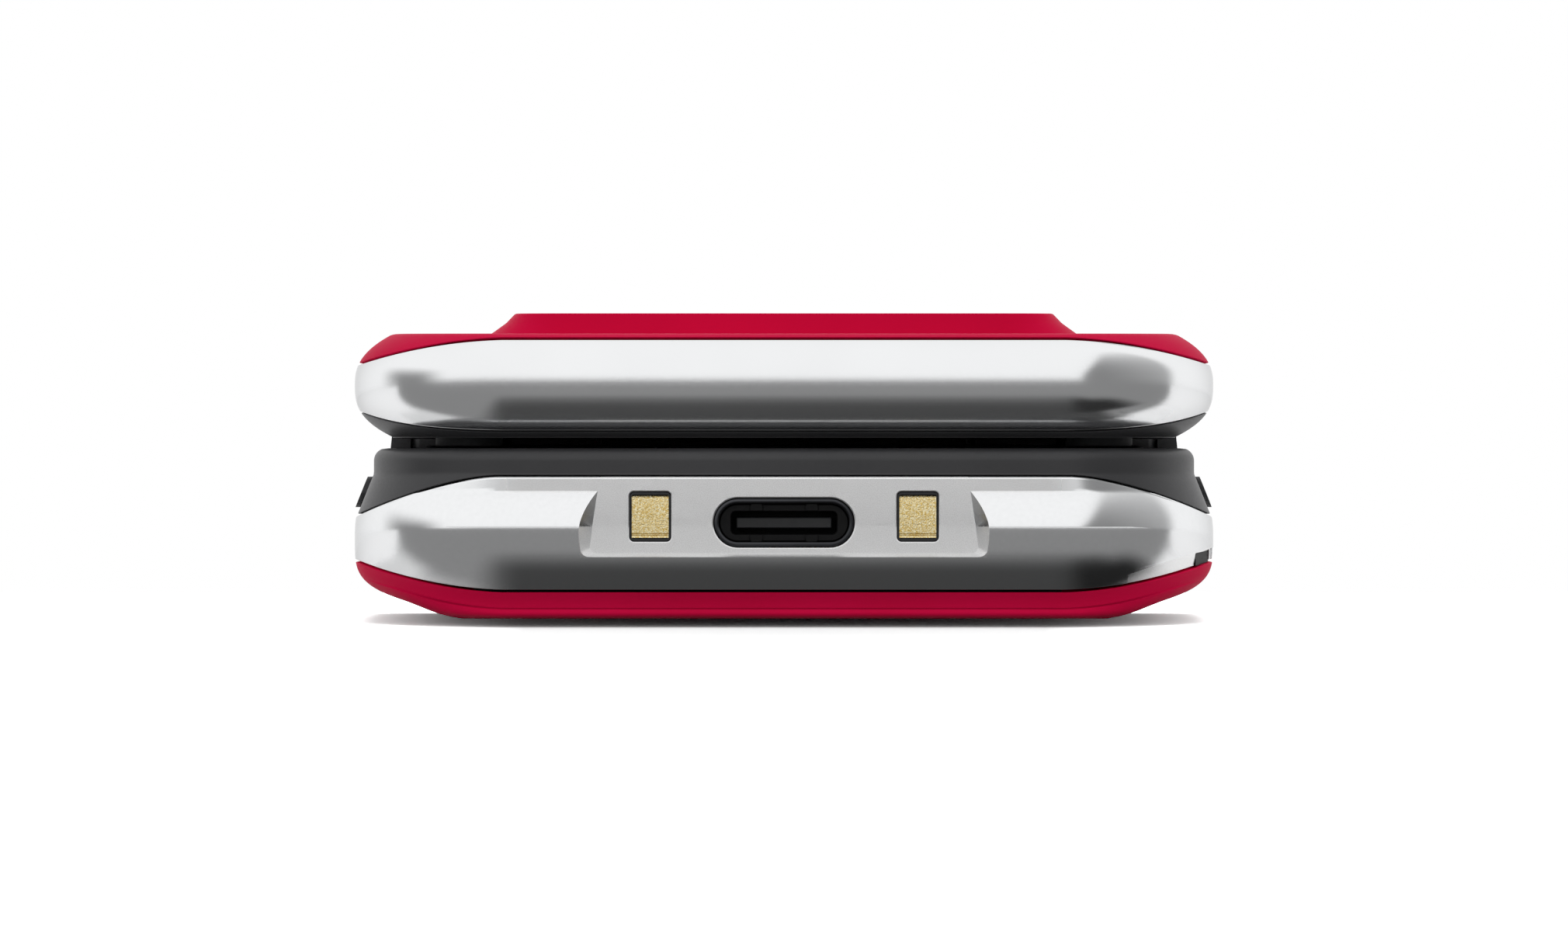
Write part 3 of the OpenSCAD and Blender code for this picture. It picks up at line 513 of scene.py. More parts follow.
def makeLidCover(look):
    low = seamHeight(lidLine, "cover", lidInset, 1)
    rings = [insetRing(lidLine, look["innerInset"], z) for z in (lidTop - look["thickness"], low)]
    rings += wallRings(lidLine, low, lidTop - 0.14, lidInset, 20, look["edge"])[:-3]
    tail = [(lidInset(lidLine, lidTop - 0.2), lidTop - 0.2), (2.42, lidTop), (2.9, lidTop)]
    for t in (0.25, 0.5, 0.75, 1):
        inset, height = ((1 - t) ** 2 * a + 2 * t * (1 - t) * b + t * t * c for a, b, c in zip(*tail))
        rings.append(insetRing(lidLine, inset, height))
    rings.append(insetRing(lidLine, 3, lidTop))
    cover = loft("lidCover", rings)

    corner = look["islandCorner"]
    line = outline(look["islandWidth"] / 2, look["islandFront"], look["islandRear"], corner, corner, 16)
    steep = 1 - 0.88 * facingFront(line)  # the front face stands steeper than the sides
    levels = [(-0.5, 0), (0, 0), (0.35, 0.49), (0.66, 0.92), (0.74, 1.02), (1.25, 1.51), (1.3, 1.57), (1.33, 1.64),
        (1.34, 1.76), (1.34, 1.9)]
    island = loft("island", [insetRing(line, inset * steep, lidTop + height) for height, inset in levels])
    place, (w, d) = look["windowCentre"], look["windowSize"]
    seat = [islandTop - 1, islandTop - 0.06, (islandTop + 0.5, 0.56)]
    cuts = [plus(island), minus(slab("windowSeat", place, (w + 0.1, d + 0.1), 3, seat)),
        minus(slab("windowOpening", place, (w - 2.4, d - 2.4), 2, [lidTop - 2, lidTop + 1]))]
    for name, cut, rim, steps in (("camera", 0.08, 0.5, 64), ("led", 0.05, 0.3, 32)):
        hole = look[name + "Hole"]
        profile = [(hole, lidTop - 3), (hole, islandTop - cut), (hole + rim, islandTop - cut + rim)]
        cuts.append(minus(turned(name + "Hole", profile, (*look[name + "Place"], 0), steps)))
    finishPiece(carve(cover, *cuts), "lid", ["lid_cover"], "red_shell")


def makeLidBand():
    low = seamHeight(lidLine, "frame", lidInset, 1)
    high = seamHeight(lidLine, "cover", lidInset, -1) - 0.07  # a little wider seam under the cover
    rings = wallRings(lidLine, low, high, lidInset, 34, 0.05)
    rings += [insetRing(lidLine, 2.6, high), insetRing(lidLine, 2.6, low)]
    band = loft("lidBand", rings, closed=True)
    gap = slab("barrelGap", (0, 41), (25.4, 6), 0.3, [lidLow - 1, lidTop + 1])
    finishPiece(carve(band, minus(gap)), "lid", ["lid_band"], "silver_trim")


frameLook = dict(barrel=12.6, barrelRadius=6.1, windowCentre=(0, -1), windowHole=(44.1, 64.1), earCentre=(0, -46),
    bumperX=20.5, bumperY=(-47.6, 36.8))


def makeLidFrame(look):
    high = seamHeight(lidLine, "frame", lidInset, -1)
    rings = [insetRing(lidLine, 2.7, lidLow + 1), insetRing(lidLine, 2.7, high)]
    rings += wallRings(lidLine, lidLow, high, lidInset, 10, 0.06)[::-1]
    rings.append(insetRing(lidLine, 2.9, lidLow))
    frameRing = loft("lidFrame", [ring[::-1] for ring in rings])
    reach, radius = look["barrel"], look["barrelRadius"]
    barrel = turned("barrel", [(5.8, -reach), (radius, -12.3), (radius, 12.3), (5.8, reach)], hinge, 96, "X")
    web = [(39.5, lidLow + 0.03), (hingeY - 5, lidLow + 0.03), (hingeY, hingeZ), (hingeY, hingeZ + radius),
        (42.15, hingeZ + 6.08), (40.9, lidTop - 0.46), (41.2, lidTop - 1.02), (39.5, lidTop - 1.02)]
    cuts = [plus(crossBar("bridge", web, reach)), plus(barrel),
        minus(slab("windowHole", look["windowCentre"], look["windowHole"], 2.05,
            [(lidLow - 0.45, 0.5), lidLow + 0.05, lidLow + 2])),
        minus(slab("earSlot", look["earCentre"], (11, 1.6), 0.75,
            [(lidLow - 0.4, 0.5), lidLow + 0.1, lidLow + 3])),
        minus(turned("hingeBore", [(3, -13.6), (3, 3)], hinge, 48, "X")),
        minus(turned("pinBore", [(2.5, 6), (2.5, 13.6)], hinge, 48, "X"))]
    seat = [(2.35, lidLow - 1), (2.3, lidLow), (2.25, lidLow + 0.05), (2.25, lidLow + 0.5)]
    for x in (-look["bumperX"], look["bumperX"]):
        for y in look["bumperY"]:
            cuts.append(minus(turned("bumperSeat", seat, (x, y, 0), 32)))
    finishPiece(carve(frameRing, *cuts), "lid", ["lid_frame"], "black_shell")


def makeScreenGlass(name, centre, active):
    # hard-coated glass, inked black round a slightly bluer active area
    material, tree, place = startMaterial(name)
    offset = addNode(tree, "VectorMath", {0: place, 1: (centre[0] * mm, centre[1] * mm, 0)},
        operation="SUBTRACT").outputs[0]
    along = addNode(tree, "SeparateXYZ", {0: offset}).outputs
    mask = allOf(tree, [mathNode(tree, "LESS_THAN", mathNode(tree, "ABSOLUTE", along[k]), active[k] / 2 * mm)
        for k in (0, 1)])
    gloss = remap(tree, noise(tree, place, 140, 3), end=(0.02, 0.07))
    panel = blendColors(tree, noise(tree, place, 9000, 0), linear("#0B0D13"), linear("#12151D"))
    color = blendColors(tree, mask, linear("#060607"), panel)
    showSurface(tree, addNode(tree, "BsdfPrincipled", {"Base Color": color, "Roughness": gloss}))
    return material


def makeWindow(name, centre, size, radius, levels, active):
    glass = makeScreenGlass(name + "Glass", centre, active)
    window = slab(name + "Window", centre, size, radius, levels)
    finishPiece(window, "lid", [name + "_window"], "window_glass", material=glass)


def makeCamera():
    # depths below the island's top
    place = coverLook["cameraPlace"]
    body = slab("cameraBody", place, (8.4, 8.4), 0.8, [15.65, 17.36])
    steps = [(4.3, 0.1), (4.24, 0.05), (4.16, 0.04), (3.5, 0.04), (3.42, 0.08), (3.2, 0.35), (2.9, 0.36), (2.86, 0.5),
        (2.5, 0.52), (2.44, 0.68), (2.05, 0.7), (1.98, 0.88), (1.6, 0.9), (1.5, 1.1)]
    barrel = [(4.3, 17.26)] + [(radius, islandTop - depth) for radius, depth in steps]
    finishPiece(carve(turned("camera", barrel, (*place, 0), 72), plus(body)), "lid", ["camera"], "lens", sharp=30)
    dome = [(1.6, islandTop - 1.05), (1.58, islandTop - 0.98)]
    dome += [(1.55 * cos(t), islandTop - 0.98 + 0.4 * sin(t)) for t in np.radians([20, 40, 60, 80])]
    finishPiece(turned("cameraGlass", dome, (*place, 0), 48), "lid", [], "lens", material=lensGlass)


def makeFlash():
    place = coverLook["ledPlace"]
    ridges = [(1.4, 17.26), (1.4, islandTop - 0.12), (1.34, islandTop - 0.06)]
    for radius in (1.2, 0.95, 0.7, 0.45):
        ridges += [(radius, islandTop - 0.08), (radius - 0.04, islandTop - 0.17), (radius - 0.2, islandTop - 0.08)]
    ridges.append((0.1, islandTop - 0.07))
    body = slab("ledBody", place, (3.4, 3.4), 0.3, [15.65, 17.36])
    finishPiece(carve(turned("flashLed", ridges, (*place, 0), 48), plus(body)), "lid", ["flash_led"], "led_lens",
        sharp=25)


def makeScrews(name, radius, levels, grid, ridesOn, nodes):
    # levels: face, edge, underside of the head, tip; the head is cross recessed
    face, edge, under, tip = levels
    profile = [(radius - 0.14, face), (radius - 0.04, face + 0.04), (radius, edge), (radius, under), (0.7, under),
        (0.7, tip - 0.1), (0.6, tip)]
    cuts = [minus(slab("slot", (0, 0), size, 0.05, [(face - 0.5, 0.02), (face + 0.5, -0.04)], 2))
        for size in ((1.8, 0.4), (0.4, 1.8))]
    repeatPart(name, carve(turned("screw", profile, (0, 0, 0), 32), *cuts), grid, ridesOn, nodes, "dark_steel")


lidCorners = (2, 2, 41, 84.4, (0, -5.4, 0))
springLook = dict(Turns=7.0, Radius=1.85 * mm, Length=11.55 * mm, Wire=0.28 * mm,
    Start=[v * mm for v in (-10.8, hingeY, hingeZ)])


def makeLidDetails():
    bumper = turned("bumper", [(2.02, 11.22), (2.14, 11.26), (2.2, 11.36), (2.2, 12.25)], (0, 0, 0), 36)
    repeatPart("bumpers", bumper, lidCorners, "lid", ["bumpers"], "soft_rubber")
    makeScrews("lidScrews", 1.5, (12.32, 12.45, 13.15, 16.77), lidCorners, "lid", ["lid_screws"])

    place = frameLook["earCentre"]
    speaker = slab("earpieceBody", place, (14, 5.4), 1.5, [12.8, 14.97])
    nose = slab("earpieceNose", place, (10.6, 1.2), 0.55, [(12.2, -0.05), 12.25, 12.9])
    finishPiece(carve(speaker, plus(nose)), "lid", ["earpiece"], "inner_plastic")
    knot = slab("knot", (0, 0), (0.24, 0.24), 0.119, [(12.13, -0.07), 12.16, 12.22], 2)
    repeatPart("earpieceMesh", knot, (25, 3, 9.6, 0.72, (*place, 0)), "lid", [], "dark_steel")

    coil = grow("hingeSpring", makeCoilTree(), {**springLook, "Finish": finishes["spring_steel"]})
    finishPiece(coil, "lid", ["hinge_spring"], "spring_steel", sharp=60)


makeLidCover(coverLook)
makeLidBand()
makeLidFrame(frameLook)
makeWindow("main", frameLook["windowCentre"], (44, 64), 2, [(11.85, -0.12), 11.97, 12.67], (40, 58))
makeWindow("outer", coverLook["windowCentre"], coverLook["windowSize"], 2.95,
    [islandTop - 0.95, islandTop - 0.12, (islandTop - 0.03, -0.05), (islandTop, -0.16)], (23, 23.5))
makeCamera()
makeFlash()
makeLidDetails()
print("lid made")


# ---- keypad half

coverShape = dict(seam=0.09, edge=0.06, floorInset=9.4, wall=0.9, beadDrop=1.02, cove=0.78, ledge=0.42,
    ledgeHeight=0.12, underside=3.2, turnPower=6, holeCentre=(-13.4, 41.2))


def makeBatteryCover(look):
    rim = seamHeight(baseLine, "floor", baseInset, -1) - look["seam"]
    facing = facingFront(baseLine)
    inner, edge = look["floorInset"], look["edge"]
    rings = [insetRing(baseLine, inner, 1)]
    for k in (1, 2, 3, 4):
        z = 1 + (rim - 1) * k / 4
        wall = baseInset(baseLine, np.maximum(0, z - look["wall"])) + 0.5
        rings.append(insetRing(baseLine, np.minimum(inner, wall), z))
    start = baseInset(baseLine, rim - edge)
    for turn in np.radians([90, 60, 30]):
        rings.append(insetRing(baseLine, start + edge * (1 - cos(turn)), rim - edge + edge * sin(turn)))
    # under the port end the wall curves in to a ledge, steps out over it and turns under; the sides just round off
    bead = rim - look["beadDrop"]
    foot = bead - look["ledgeHeight"]
    under = start + look["cove"]
    profile = [(rim - edge + (bead - rim + edge) * t, start + look["cove"] * (1 - (1 - t) ** 2))
        for t in np.linspace(0, 1, 13)]
    profile += [(bead + (foot - bead) * t, under - look["ledge"] * share)
        for t, share in ((0.06, 0.04), (0.2, 0.2), (0.5, 0.54), (0.8, 0.85), (0.94, 0.97), (1, 1))]
    for turn in np.radians(np.linspace(8, 90, 14)):
        tuck = look["underside"] * (1 - cos(turn)) ** look["turnPower"]
        profile.append((foot * cos(turn), under - look["ledge"] + tuck))
    for z, frontInset in profile:
        sideInset = baseInset(baseLine, z)
        rings.append(insetRing(baseLine, sideInset + (frontInset - sideInset) * facing, z))
    rings.append(insetRing(baseLine, inner, 0))
    cover = loft("batteryCover", [ring[::-1] for ring in rings])
    x0, y0 = look["holeCentre"]
    hole = [(-0.5, 0.5), (0, 0.05), 0.05, 1.5]
    holes = [minus(slab("soundHole", (x + x0, y + y0), (1.2, 1.2), 0.6, hole))
        for x in (-2.6, 0, 2.6) for y in (-1.3, 1.3)]
    # the cover wears the brighter copy of the lacquer, painted light
    cover = finishPiece(carve(cover, *holes), "base", ["battery_cover"], "red_shell", material=brightenedCoverFinish)
    cover.visible_diffuse = False  # no red bounce on the paper


portPlace, portSize = (0, 6.25), (9.1, 3.13)
contactX, contactZ = 8.7, 6.65
bandLook = dict(edge=0.06, topEdge=0.16, innerInset=2.9, draft=0.78, recessCorner=(12.62, 4.27, 0.45), scoopDepth=0.2,
    slotCentre=(18.3, -45.3, 3.98), slotAngle=-16, slotSize=(3.1, 0.85), slotRoll=5)


def nailSlot(name, look, near, far, grow):
    # a box from near to far out of the corner's centre, at the nail slot's angle
    box = slab(name, (0, 0), look["slotSize"], 0.12, [(near, grow), (far, grow)], 4, axis="X")
    turn = Matrix.Rotation(radians(look["slotAngle"]), 4, "Z")
    roll = Matrix.Rotation(radians(look["slotRoll"]), 4, "X")
    box.data.transform(Matrix.Translation([v * mm for v in look["slotCentre"]]) @ turn @ roll)
    return box


def nailScoop(look):
    # a shallow step down to the seam at the right front corner
    plan = [(22.3, 1.2), (22.3, 2.34), (22.4, 2.68), (22.63, 3.03), (23.03, 3.28), (23.59, 3.45), (24.19, 3.59),
        (24.65, 3.74), (25.56, 3.94), (26.52, 4.19), (28.5, 4.8), (28.5, 1.2)]
    area = loft("scoopArea", [[(x, y, z) for x, z in plan[::-1]] for y in (-40, -60)])
    heights = np.linspace(1, 5, 17)
    def skin(z, depth):
        return insetRing(baseLine, baseInset(baseLine, z) + depth, z)
    rings = [skin(z, look["scoopDepth"]) for z in heights[::-1]] + [skin(z, -1) for z in heights]
    return carve(area, within(loft("scoopLayer", rings, closed=True)))


def portRecess(look):
    # its outline grows with depth, at half rate below, so that the walls open towards the front
    x, z, r = look["recessCorner"]
    half = [(x + r * sin(a) - r, z + r - r * cos(a)) for a in np.radians(np.linspace(0, 90, 7))]
    half += [(12.44, 6.24), (12.13, 8.25), (12.09, 8.52)]
    side = np.array(half + [(-x, z) for x, z in reversed(half)])
    rings = []
    for depth in (-0.004, 0.2, 0.6, 1.0, 1.4):
        draft = np.column_stack([np.sign(side[:, 0]), -0.5 * (side[:, 1] < 5)])
        spread = side + look["draft"] * max(depth, 0) * draft
        rings.append(np.column_stack([spread[:, 0], np.full(len(side), panelY - depth), spread[:, 1]]))
    return loft("recess", rings)


def makeBaseBand(look):
    low, high = seamHeight(baseLine, "floor", baseInset, 1), seamHeight(baseLine, "deck", baseInset, -1)
    rings = wallRings(baseLine, low, high, baseInset, 56, look["edge"], look["topEdge"])
    rings += [insetRing(baseLine, look["innerInset"], z) for z in (high, low)]
    band = loft("baseBand", rings, closed=True)
    cuts = [portRecess(look), slab("portHole", portPlace, (9.2, 3.23), 1.61,
        [(-53.93, 0.15), (-53.86, 0.01), -53.8, -50], 14, axis="Y")]
    for x in (-contactX, contactX):
        cuts.append(slab("contactHole", (x, contactZ), (2.72, 3.26), 0.3,
            [(-53.93, 0.14), (-53.865, 0.01), -53.8, -50], 6, axis="Y"))
    cuts += [nailScoop(look), nailSlot("nailSlot", look, 7.9, 11, 0), *hingePocket()]
    # a black fill at the nail slot's floor: painted shade, standing in for the dark of a deeper slot
    finishPiece(nailSlot("nailSlotLiner", look, 7.95, 9.28, -0.02), "base", [], "inner_plastic", material=portBlack)
    finishPiece(carve(band, *map(minus, cuts)), "base", ["base_band"], "silver_trim", sharp=24,
        material=bandFinish, flatten=True)


def hingePocket():
    wedge = [(hingeY, 12.4), (hingeY + 2, 6.35), (56, 8.3), (56, 12.4)]
    return turned("pocketRound", [(6.4, -12.9), (6.4, 12.9)], hinge, 96, "X"), crossBar("pocketWedge", wedge, 12.9)


digitNames = ["key_" + name for name in "star 0 hash 7 8 9 4 5 6 1 2 3".split()]
keyGrid = dict(pitch=(15.9, 9.4), firstY=-40.6, size=(15.2, 8.7), radius=1.8)
flatKeys = [(name, (k % 3 - 1) * keyGrid["pitch"][0], keyGrid["firstY"] + k // 3 * keyGrid["pitch"][1],
    *keyGrid["size"], keyGrid["radius"]) for k, name in enumerate(digitNames)]
flatKeys += [("send_key", -16.6, -3, 13.8, 7.4, 3), ("clear_key", 0, -3, 12.6, 7.4, 3),
    ("end_key", 16.6, -3, 13.8, 7.4, 3), ("soft_key_left", -18.6, 26.4, 9.4, 8, 3),
    ("soft_key_right", 18.6, 26.4, 9.4, 8, 3)]
keyTop = 11.35
navY = 18.6
navCentre = (0, navY, 0)
sideKeys = {"volume_rocker": (-1, 19), "side_key": (1, 10)}
sideKeyPlace = (-30, 8.25)
deckLook = dict(innerInset=3, innerTop=9.9, bossX=20.5, bossY=(-48.2, 38.2), wellGap=0.15,
    wellLevels=[9, 11.02, (11.5, 0.48)], navWell=11.75, micHole=(12, -48.4))


def makeEars():
    profile = [(6.1, 12.9), (6.1, 24.55), (6.02, 24.7), (5.38, 25.32), (5.2, 25.4)]
    right = turned("earRight", profile, hinge, 96, "X")
    plan = loft("earPlan", [insetRing(baseLine, inset, z)
        for inset, z in ((2.95, 8), (2.95, 9.9), (0.4, 9.9), (0.4, 20))])
    return carve(join("ears", [right, mirrored(right, "earLeft")]), within(plan))


def makeDeck(look):
    low = seamHeight(baseLine, "deck", deckInset, 1)
    rings = [insetRing(baseLine, look["innerInset"], z) for z in (look["innerTop"], low)]
    rings += wallRings(baseLine, low, baseTop, deckInset, 30, 0.05)[:-3]
    rings.append(insetRing(baseLine, 2.2, baseTop))
    deck = loft("keypadDeck", rings)

    cuts = [plus(makeEars())]
    for side in (-1, 1):
        corner = [(25.2, 10.6), (26.6, 10.6), (26.4, 12.6), (25.2, 12.6)][::side]
        cuts.append(plus(loft("shoulder", [[(side * x, y, z) for x, z in corner] for y in (45.6, 42.7)])))
    for x in (-look["bossX"], look["bossX"]):
        for y in look["bossY"]:
            cuts.append(plus(slab("boss", (x, y), (3.4, 3.4), 1.7, [8.1, 10.4])))
            cuts.append(minus(slab("bossHole", (x, y), (1.5, 1.5), 0.75, [7.9, 10.1])))
    gap = 2 * look["wellGap"]
    for name, x, y, w, d, r in flatKeys:
        cuts.append(minus(slab(name + "Well", (x, y), (w + gap, d + gap), r, look["wellLevels"])))
    radius = look["navWell"]
    cuts.append(minus(turned("navWell", [(radius, 9), (radius, 11.02), (radius + 0.48, 11.5)], navCentre, 96)))
    for side, length in sideKeys.values():
        ends = mirrorLevels([23.9, 27.2, (28.6, 0.3)], side)
        cuts.append(minus(slab("sideSlot", sideKeyPlace, (length + 0.3, 2.3), 1.14, ends, axis="X")))
    cuts.append(minus(slab("micHole", look["micHole"], (1.2, 1.2), 0.6, [9, 11, (11.5, 0.5)])))
    for side in (-1, 1):
        for radius, near, far in ((2.5, 11.9, 26.4), (2.75, 24.35, 26.4)):
            ends = sorted((side * near, side * far))
            cuts.append(minus(turned("earBore", [(radius, end) for end in ends], hinge, 48, "X")))
    cuts += map(minus, hingePocket())
    finishPiece(carve(deck, *cuts), "base", ["keypad_deck"], "black_shell")


def keyBlank(name, x, y, w, d, r):
    # plunger, flange, body and a crowned top in one skin; body: (height, how much the outline grows)
    body = [(9, 0.275), (9.44, 0.275), (9.5, 0.2), (9.52, 0), (10.9, 0), (11.08, -0.03), (11.2, -0.12),
        (11.255, -0.28), (11.28, -0.5), (11.315, -1.2), (11.34, -2.1), (keyTop, -3)]
    plans = [(z, roundedRect(2.4, 2.4, 1.199)) for z in (8.75, 9)]
    plans += [(z, roundedRect(w + 2 * grow, d + 2 * grow, max(r - 0.1 + grow, 0.3))) for z, grow in body]
    return loft(name + "Shape", [np.column_stack([plan + (x, y), np.full(len(plan), z)]) for z, plan in plans])


def inkMark(name, thing, ridesOn, tint):
    thing.name = name
    coat(thing, inks[tint])
    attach(thing, ridesOn)


def glyph(text, size, x, y):
    curve = bpy.data.curves.new("glyph", "FONT")
    curve.body, curve.size, curve.extrude = text, size * mm, 0.02 * mm
    curve.align_x = curve.align_y = "CENTER"
    holder = addObject("glyph", curve)
    mesh = evaluated(holder)
    bpy.data.objects.remove(holder)
    mesh.transform(Matrix.Translation((x * mm, y * mm, (keyTop - 0.015) * mm)))
    return addObject("glyph", mesh)


def handset(x, y, turn):
    # the arc of a receiver, thicker in its ends; turn -1 stands it upside down
    angles = np.radians(np.linspace(-62, 62, 25))
    arc = [(2.4, a) for a in angles[::-1]] + [(1.75 if abs(a) < 0.62 else 1.3, a) for a in angles]
    plan = [(x + turn * radius * sin(a), y + turn * (radius * cos(a) - 1.6)) for radius, a in arc]
    return prism("handset", plan, 11.3, keyTop)


def makeFlatKeys():
    labels = {name: (text, 4.4, 0) for name, text in zip(digitNames, "*0#789456123")}
    labels.update(key_star=("*", 4.4, 0.9), clear_key=("C", 3.4, 0))  # text, size, how far it sits below the middle
    handsets = {"send_key": (-1, "green"), "end_key": (1, "red")}
    for name, x, y, w, d, r in flatKeys:
        finishPiece(keyBlank(name, x, y, w, d, r), name, [name], "key_plastic", sharp=50)
        tint = "white"
        if name in labels:
            text, size, drop = labels[name]
            mark = glyph(text, size, x, y - drop)
        elif name in handsets:
            turn, tint = handsets[name]
            mark = handset(x, y, turn)
        else:
            mark = slab("dash", (x, y), (3, 0.6), 0.3, [11.3, keyTop], 4)
        inkMark(name + "Mark", mark, name, tint)


def makeNavKeys():
    a = np.linspace(0, 2 * pi, 97)[:-1]
    profile = [(5.6, 9), (12.2, 9), (12.2, 9.44), (12.14, 9.5), (11.6, 9.5), (11.6, 11), (11.56, 11.14),
        (11.45, 11.24), (11.25, 11.28), (8.6, keyTop), (6, 11.3), (5.75, 11.26), (5.64, 11.16), (5.6, 11)]
    ring = loft("navRing", [np.column_stack([radius * np.cos(a), navY + radius * np.sin(a), np.full(96, z)])
        for radius, z in profile], closed=True)
    turns = np.radians([0, 90, 180, 270])
    plungers = [slab("navPlunger", (8.6 * cos(t), navY + 8.6 * sin(t)), (2.4, 2.4), 1.199, [8.75, 9.1])
        for t in turns]
    finishPiece(carve(ring, *map(plus, plungers)), "nav_ring", ["nav_ring"], "silver_trim", sharp=40)
    tip = [(9.7, 0), (8.9, 0.75), (8.9, -0.75)]
    for k, t in enumerate(turns):
        plan = [(u * cos(t) - v * sin(t), navY + u * sin(t) + v * cos(t)) for u, v in tip]
        inkMark("navMark%d" % k, prism("arrow", plan, 11.3, keyTop), "nav_ring", "dark")
    middle = [(1.2, 8.75), (1.2, 9), (5.45, 9), (5.45, 11.05), (5.4, 11.17), (5.28, 11.25), (5, 11.29), (3, 11.335),
        (1.2, keyTop)]
    finishPiece(turned("okKey", middle, navCentre, 96), "ok_key", ["ok_key"], "silver_trim", sharp=40)


def makeSideKeys():
    y, z = sideKeyPlace
    for name, (side, length) in sideKeys.items():
        # the button ends 0.4 mm proud of the deck's wall
        heights = np.linspace(7, 9.5, 11)
        rings = [insetRing(baseLine, deckInset(baseLine, h) - 0.4, h) for h in heights]
        shell = loft("sideShell", [insetRing(baseLine, 4, 7), *rings, insetRing(baseLine, 4, 9.5)])
        button = slab("button", (y, z), (length, 2), 0.99, mirrorLevels([24.15, 29], side), 12, axis="X")
        button = bevelEdges(carve(button, within(shell)), 0.14, 50, 3)
        ends = mirrorLevels([24, 24.7], side)
        flange = slab("flange", (y, z - 0.25), (length + 1, 1.1), 0.5, ends, 6, axis="X")
        finishPiece(carve(button, plus(flange)), name, [name], "key_plastic", sharp=35)


def makePort():
    lip = [(-47.2, -0.32), (-53.76, -0.32), (-53.83, -0.29), (-53.87, -0.22), (-53.87, -0.1), (-53.83, -0.03),
        -53.76, -46.6]
    shell = slab("usbShell", portPlace, portSize, 1.555, lip, 14, axis="Y")
    finishPiece(shell, "base", ["usb_shell"], "dark_steel")

    # insulator: a collar round the mouth with four spring bumps
    collar = slab("collar", portPlace, (8.42, 2.45), 1.22, [(-53.55, -0.08), -53.45, -47.25], 14, axis="Y")
    mouth = slab("mouth", portPlace, (6.87, 1.47), 0.3, [(-54, 0.1), (-53.55, 0.06), -53.45, -49], 6, axis="Y")
    bumps = [slab("bump", (x, z), (0.92, 0.92), 0.458, [(-53.66, -0.06), -53.6, -53.4], 8, axis="Y")
        for x in (-1.8, 1.8) for z in (7.2, 5.3)]
    trim = slab("trim", portPlace, (8.4, 2.43), 1.2, [-54, -47], 14, axis="Y")
    bumpSet = carve(join("bumps", bumps), within(trim))
    finishPiece(carve(collar, plus(bumpSet), minus(mouth)), "base", [], "inner_plastic", material=portBlack)
    tongue = slab("usbTongue", portPlace, (6.2, 0.7), 0.1, [(-53, -0.06), -52.94, -49.05], 4, axis="Y")
    finishPiece(tongue, "base", ["usb_tongue"], "inner_plastic")


padLook = dict(width=2.4, bottom=5.27, top=8.02, front=-53.85, lean=0.16, thickness=1.75, stemZ=6.7)


def makeContacts(look):
    # pad profile (depth, height): the fold at its top, the grained face, and the groove and lip at its foot
    h0, h1, lean = look["bottom"], look["top"], look["lean"]
    profile = [(look["thickness"], h1), (lean + 0.3, h1 + 0.01), (lean + 0.07, h1), (lean, h1 - 0.18),
        (lean * 0.98, h1 - 0.2), (0, h0 + 0.32), (0.02, h0 + 0.29), (0.14, h0 + 0.23), (0.13, h0 + 0.18),
        (0.08, h0 + 0.14), (0.02, h0 + 0.01), (0.06, h0 - 0.01), (look["thickness"], h0)]
    pads, frames = [], []
    for x in (-contactX, contactX):
        ends = (x - look["width"] / 2, x + look["width"] / 2)
        pads.append(loft("pad", [[(end, look["front"] + depth, z) for depth, z in profile] for end in ends]))
        pads.append(slab("stem", (x, look["stemZ"]), (1.2, 0.4), 0.05, [-52.1, -49.7], 2, axis="Y"))
    finishPiece(join("chargingContacts", pads), "base", ["charging_contacts"], "gold_plate", sharp=20)
    for x in (-contactX, contactX):
        outer = slab("carrier", (x, contactZ), (2.66, 3.2), 0.28, [(-53.86, -0.05), -53.81, -51.3], 6, axis="Y")
        hole = slab("carrierHole", (x, contactZ), (2.43, 2.84), 0.12, [-54.5, -51.95], 4, axis="Y")
        stem = slab("stemHole", (x, look["stemZ"]), (1.26, 0.46), 0.05, [-53, -51], 2, axis="Y")
        frames.append(carve(outer, minus(hole), minus(stem)))
    finishPiece(join("contactCarriers", frames), "base", ["contact_carriers"], "inner_plastic")


baseCorners = (2, 2, 41, 86.4, (0, -5, 0))


def makeBaseDetails():
    makeScrews("baseScrews", 1.6, (5.4, 5.53, 6.4, 9.8), baseCorners, "base", ["base_screws"])
    profile = [(2.7, 24.4), (2.7, 25.2), (2.62, 25.28), (2.5, 25.3), (1.75, 25.3), (1.6, 25.25), (1.5, 25.14)]
    cap = turned("capRight", profile, hinge, 64, "X")
    finishPiece(join("hingeCaps", [cap, mirrored(cap, "capLeft")]), "base", ["hinge_caps"], "dark_steel")


makeBatteryCover(coverShape)
makeBaseBand(bandLook)
makeDeck(deckLook)
makeBaseDetails()
makeFlatKeys()
makeNavKeys()
makeSideKeys()
makePort()
makeContacts(padLook)
print("keypad half made")


# ---- finishes for the nodes that keep their shape

for part in frame["record"]["subparts"]:
    coat(frame["nodes"][part["node"]], finishes[part["material_slot"]])


# ---- studio

stageLook = dict(tentLight=0.5, lampSize=1.4, lampReach=2.3, lampTilt=30, lampPower=20, paperSeen=1.6,
    paperShadowLift=3.5, paperShadowLiftFrom=(17, 24), paperGloss=1.4, paperShade=0.6)
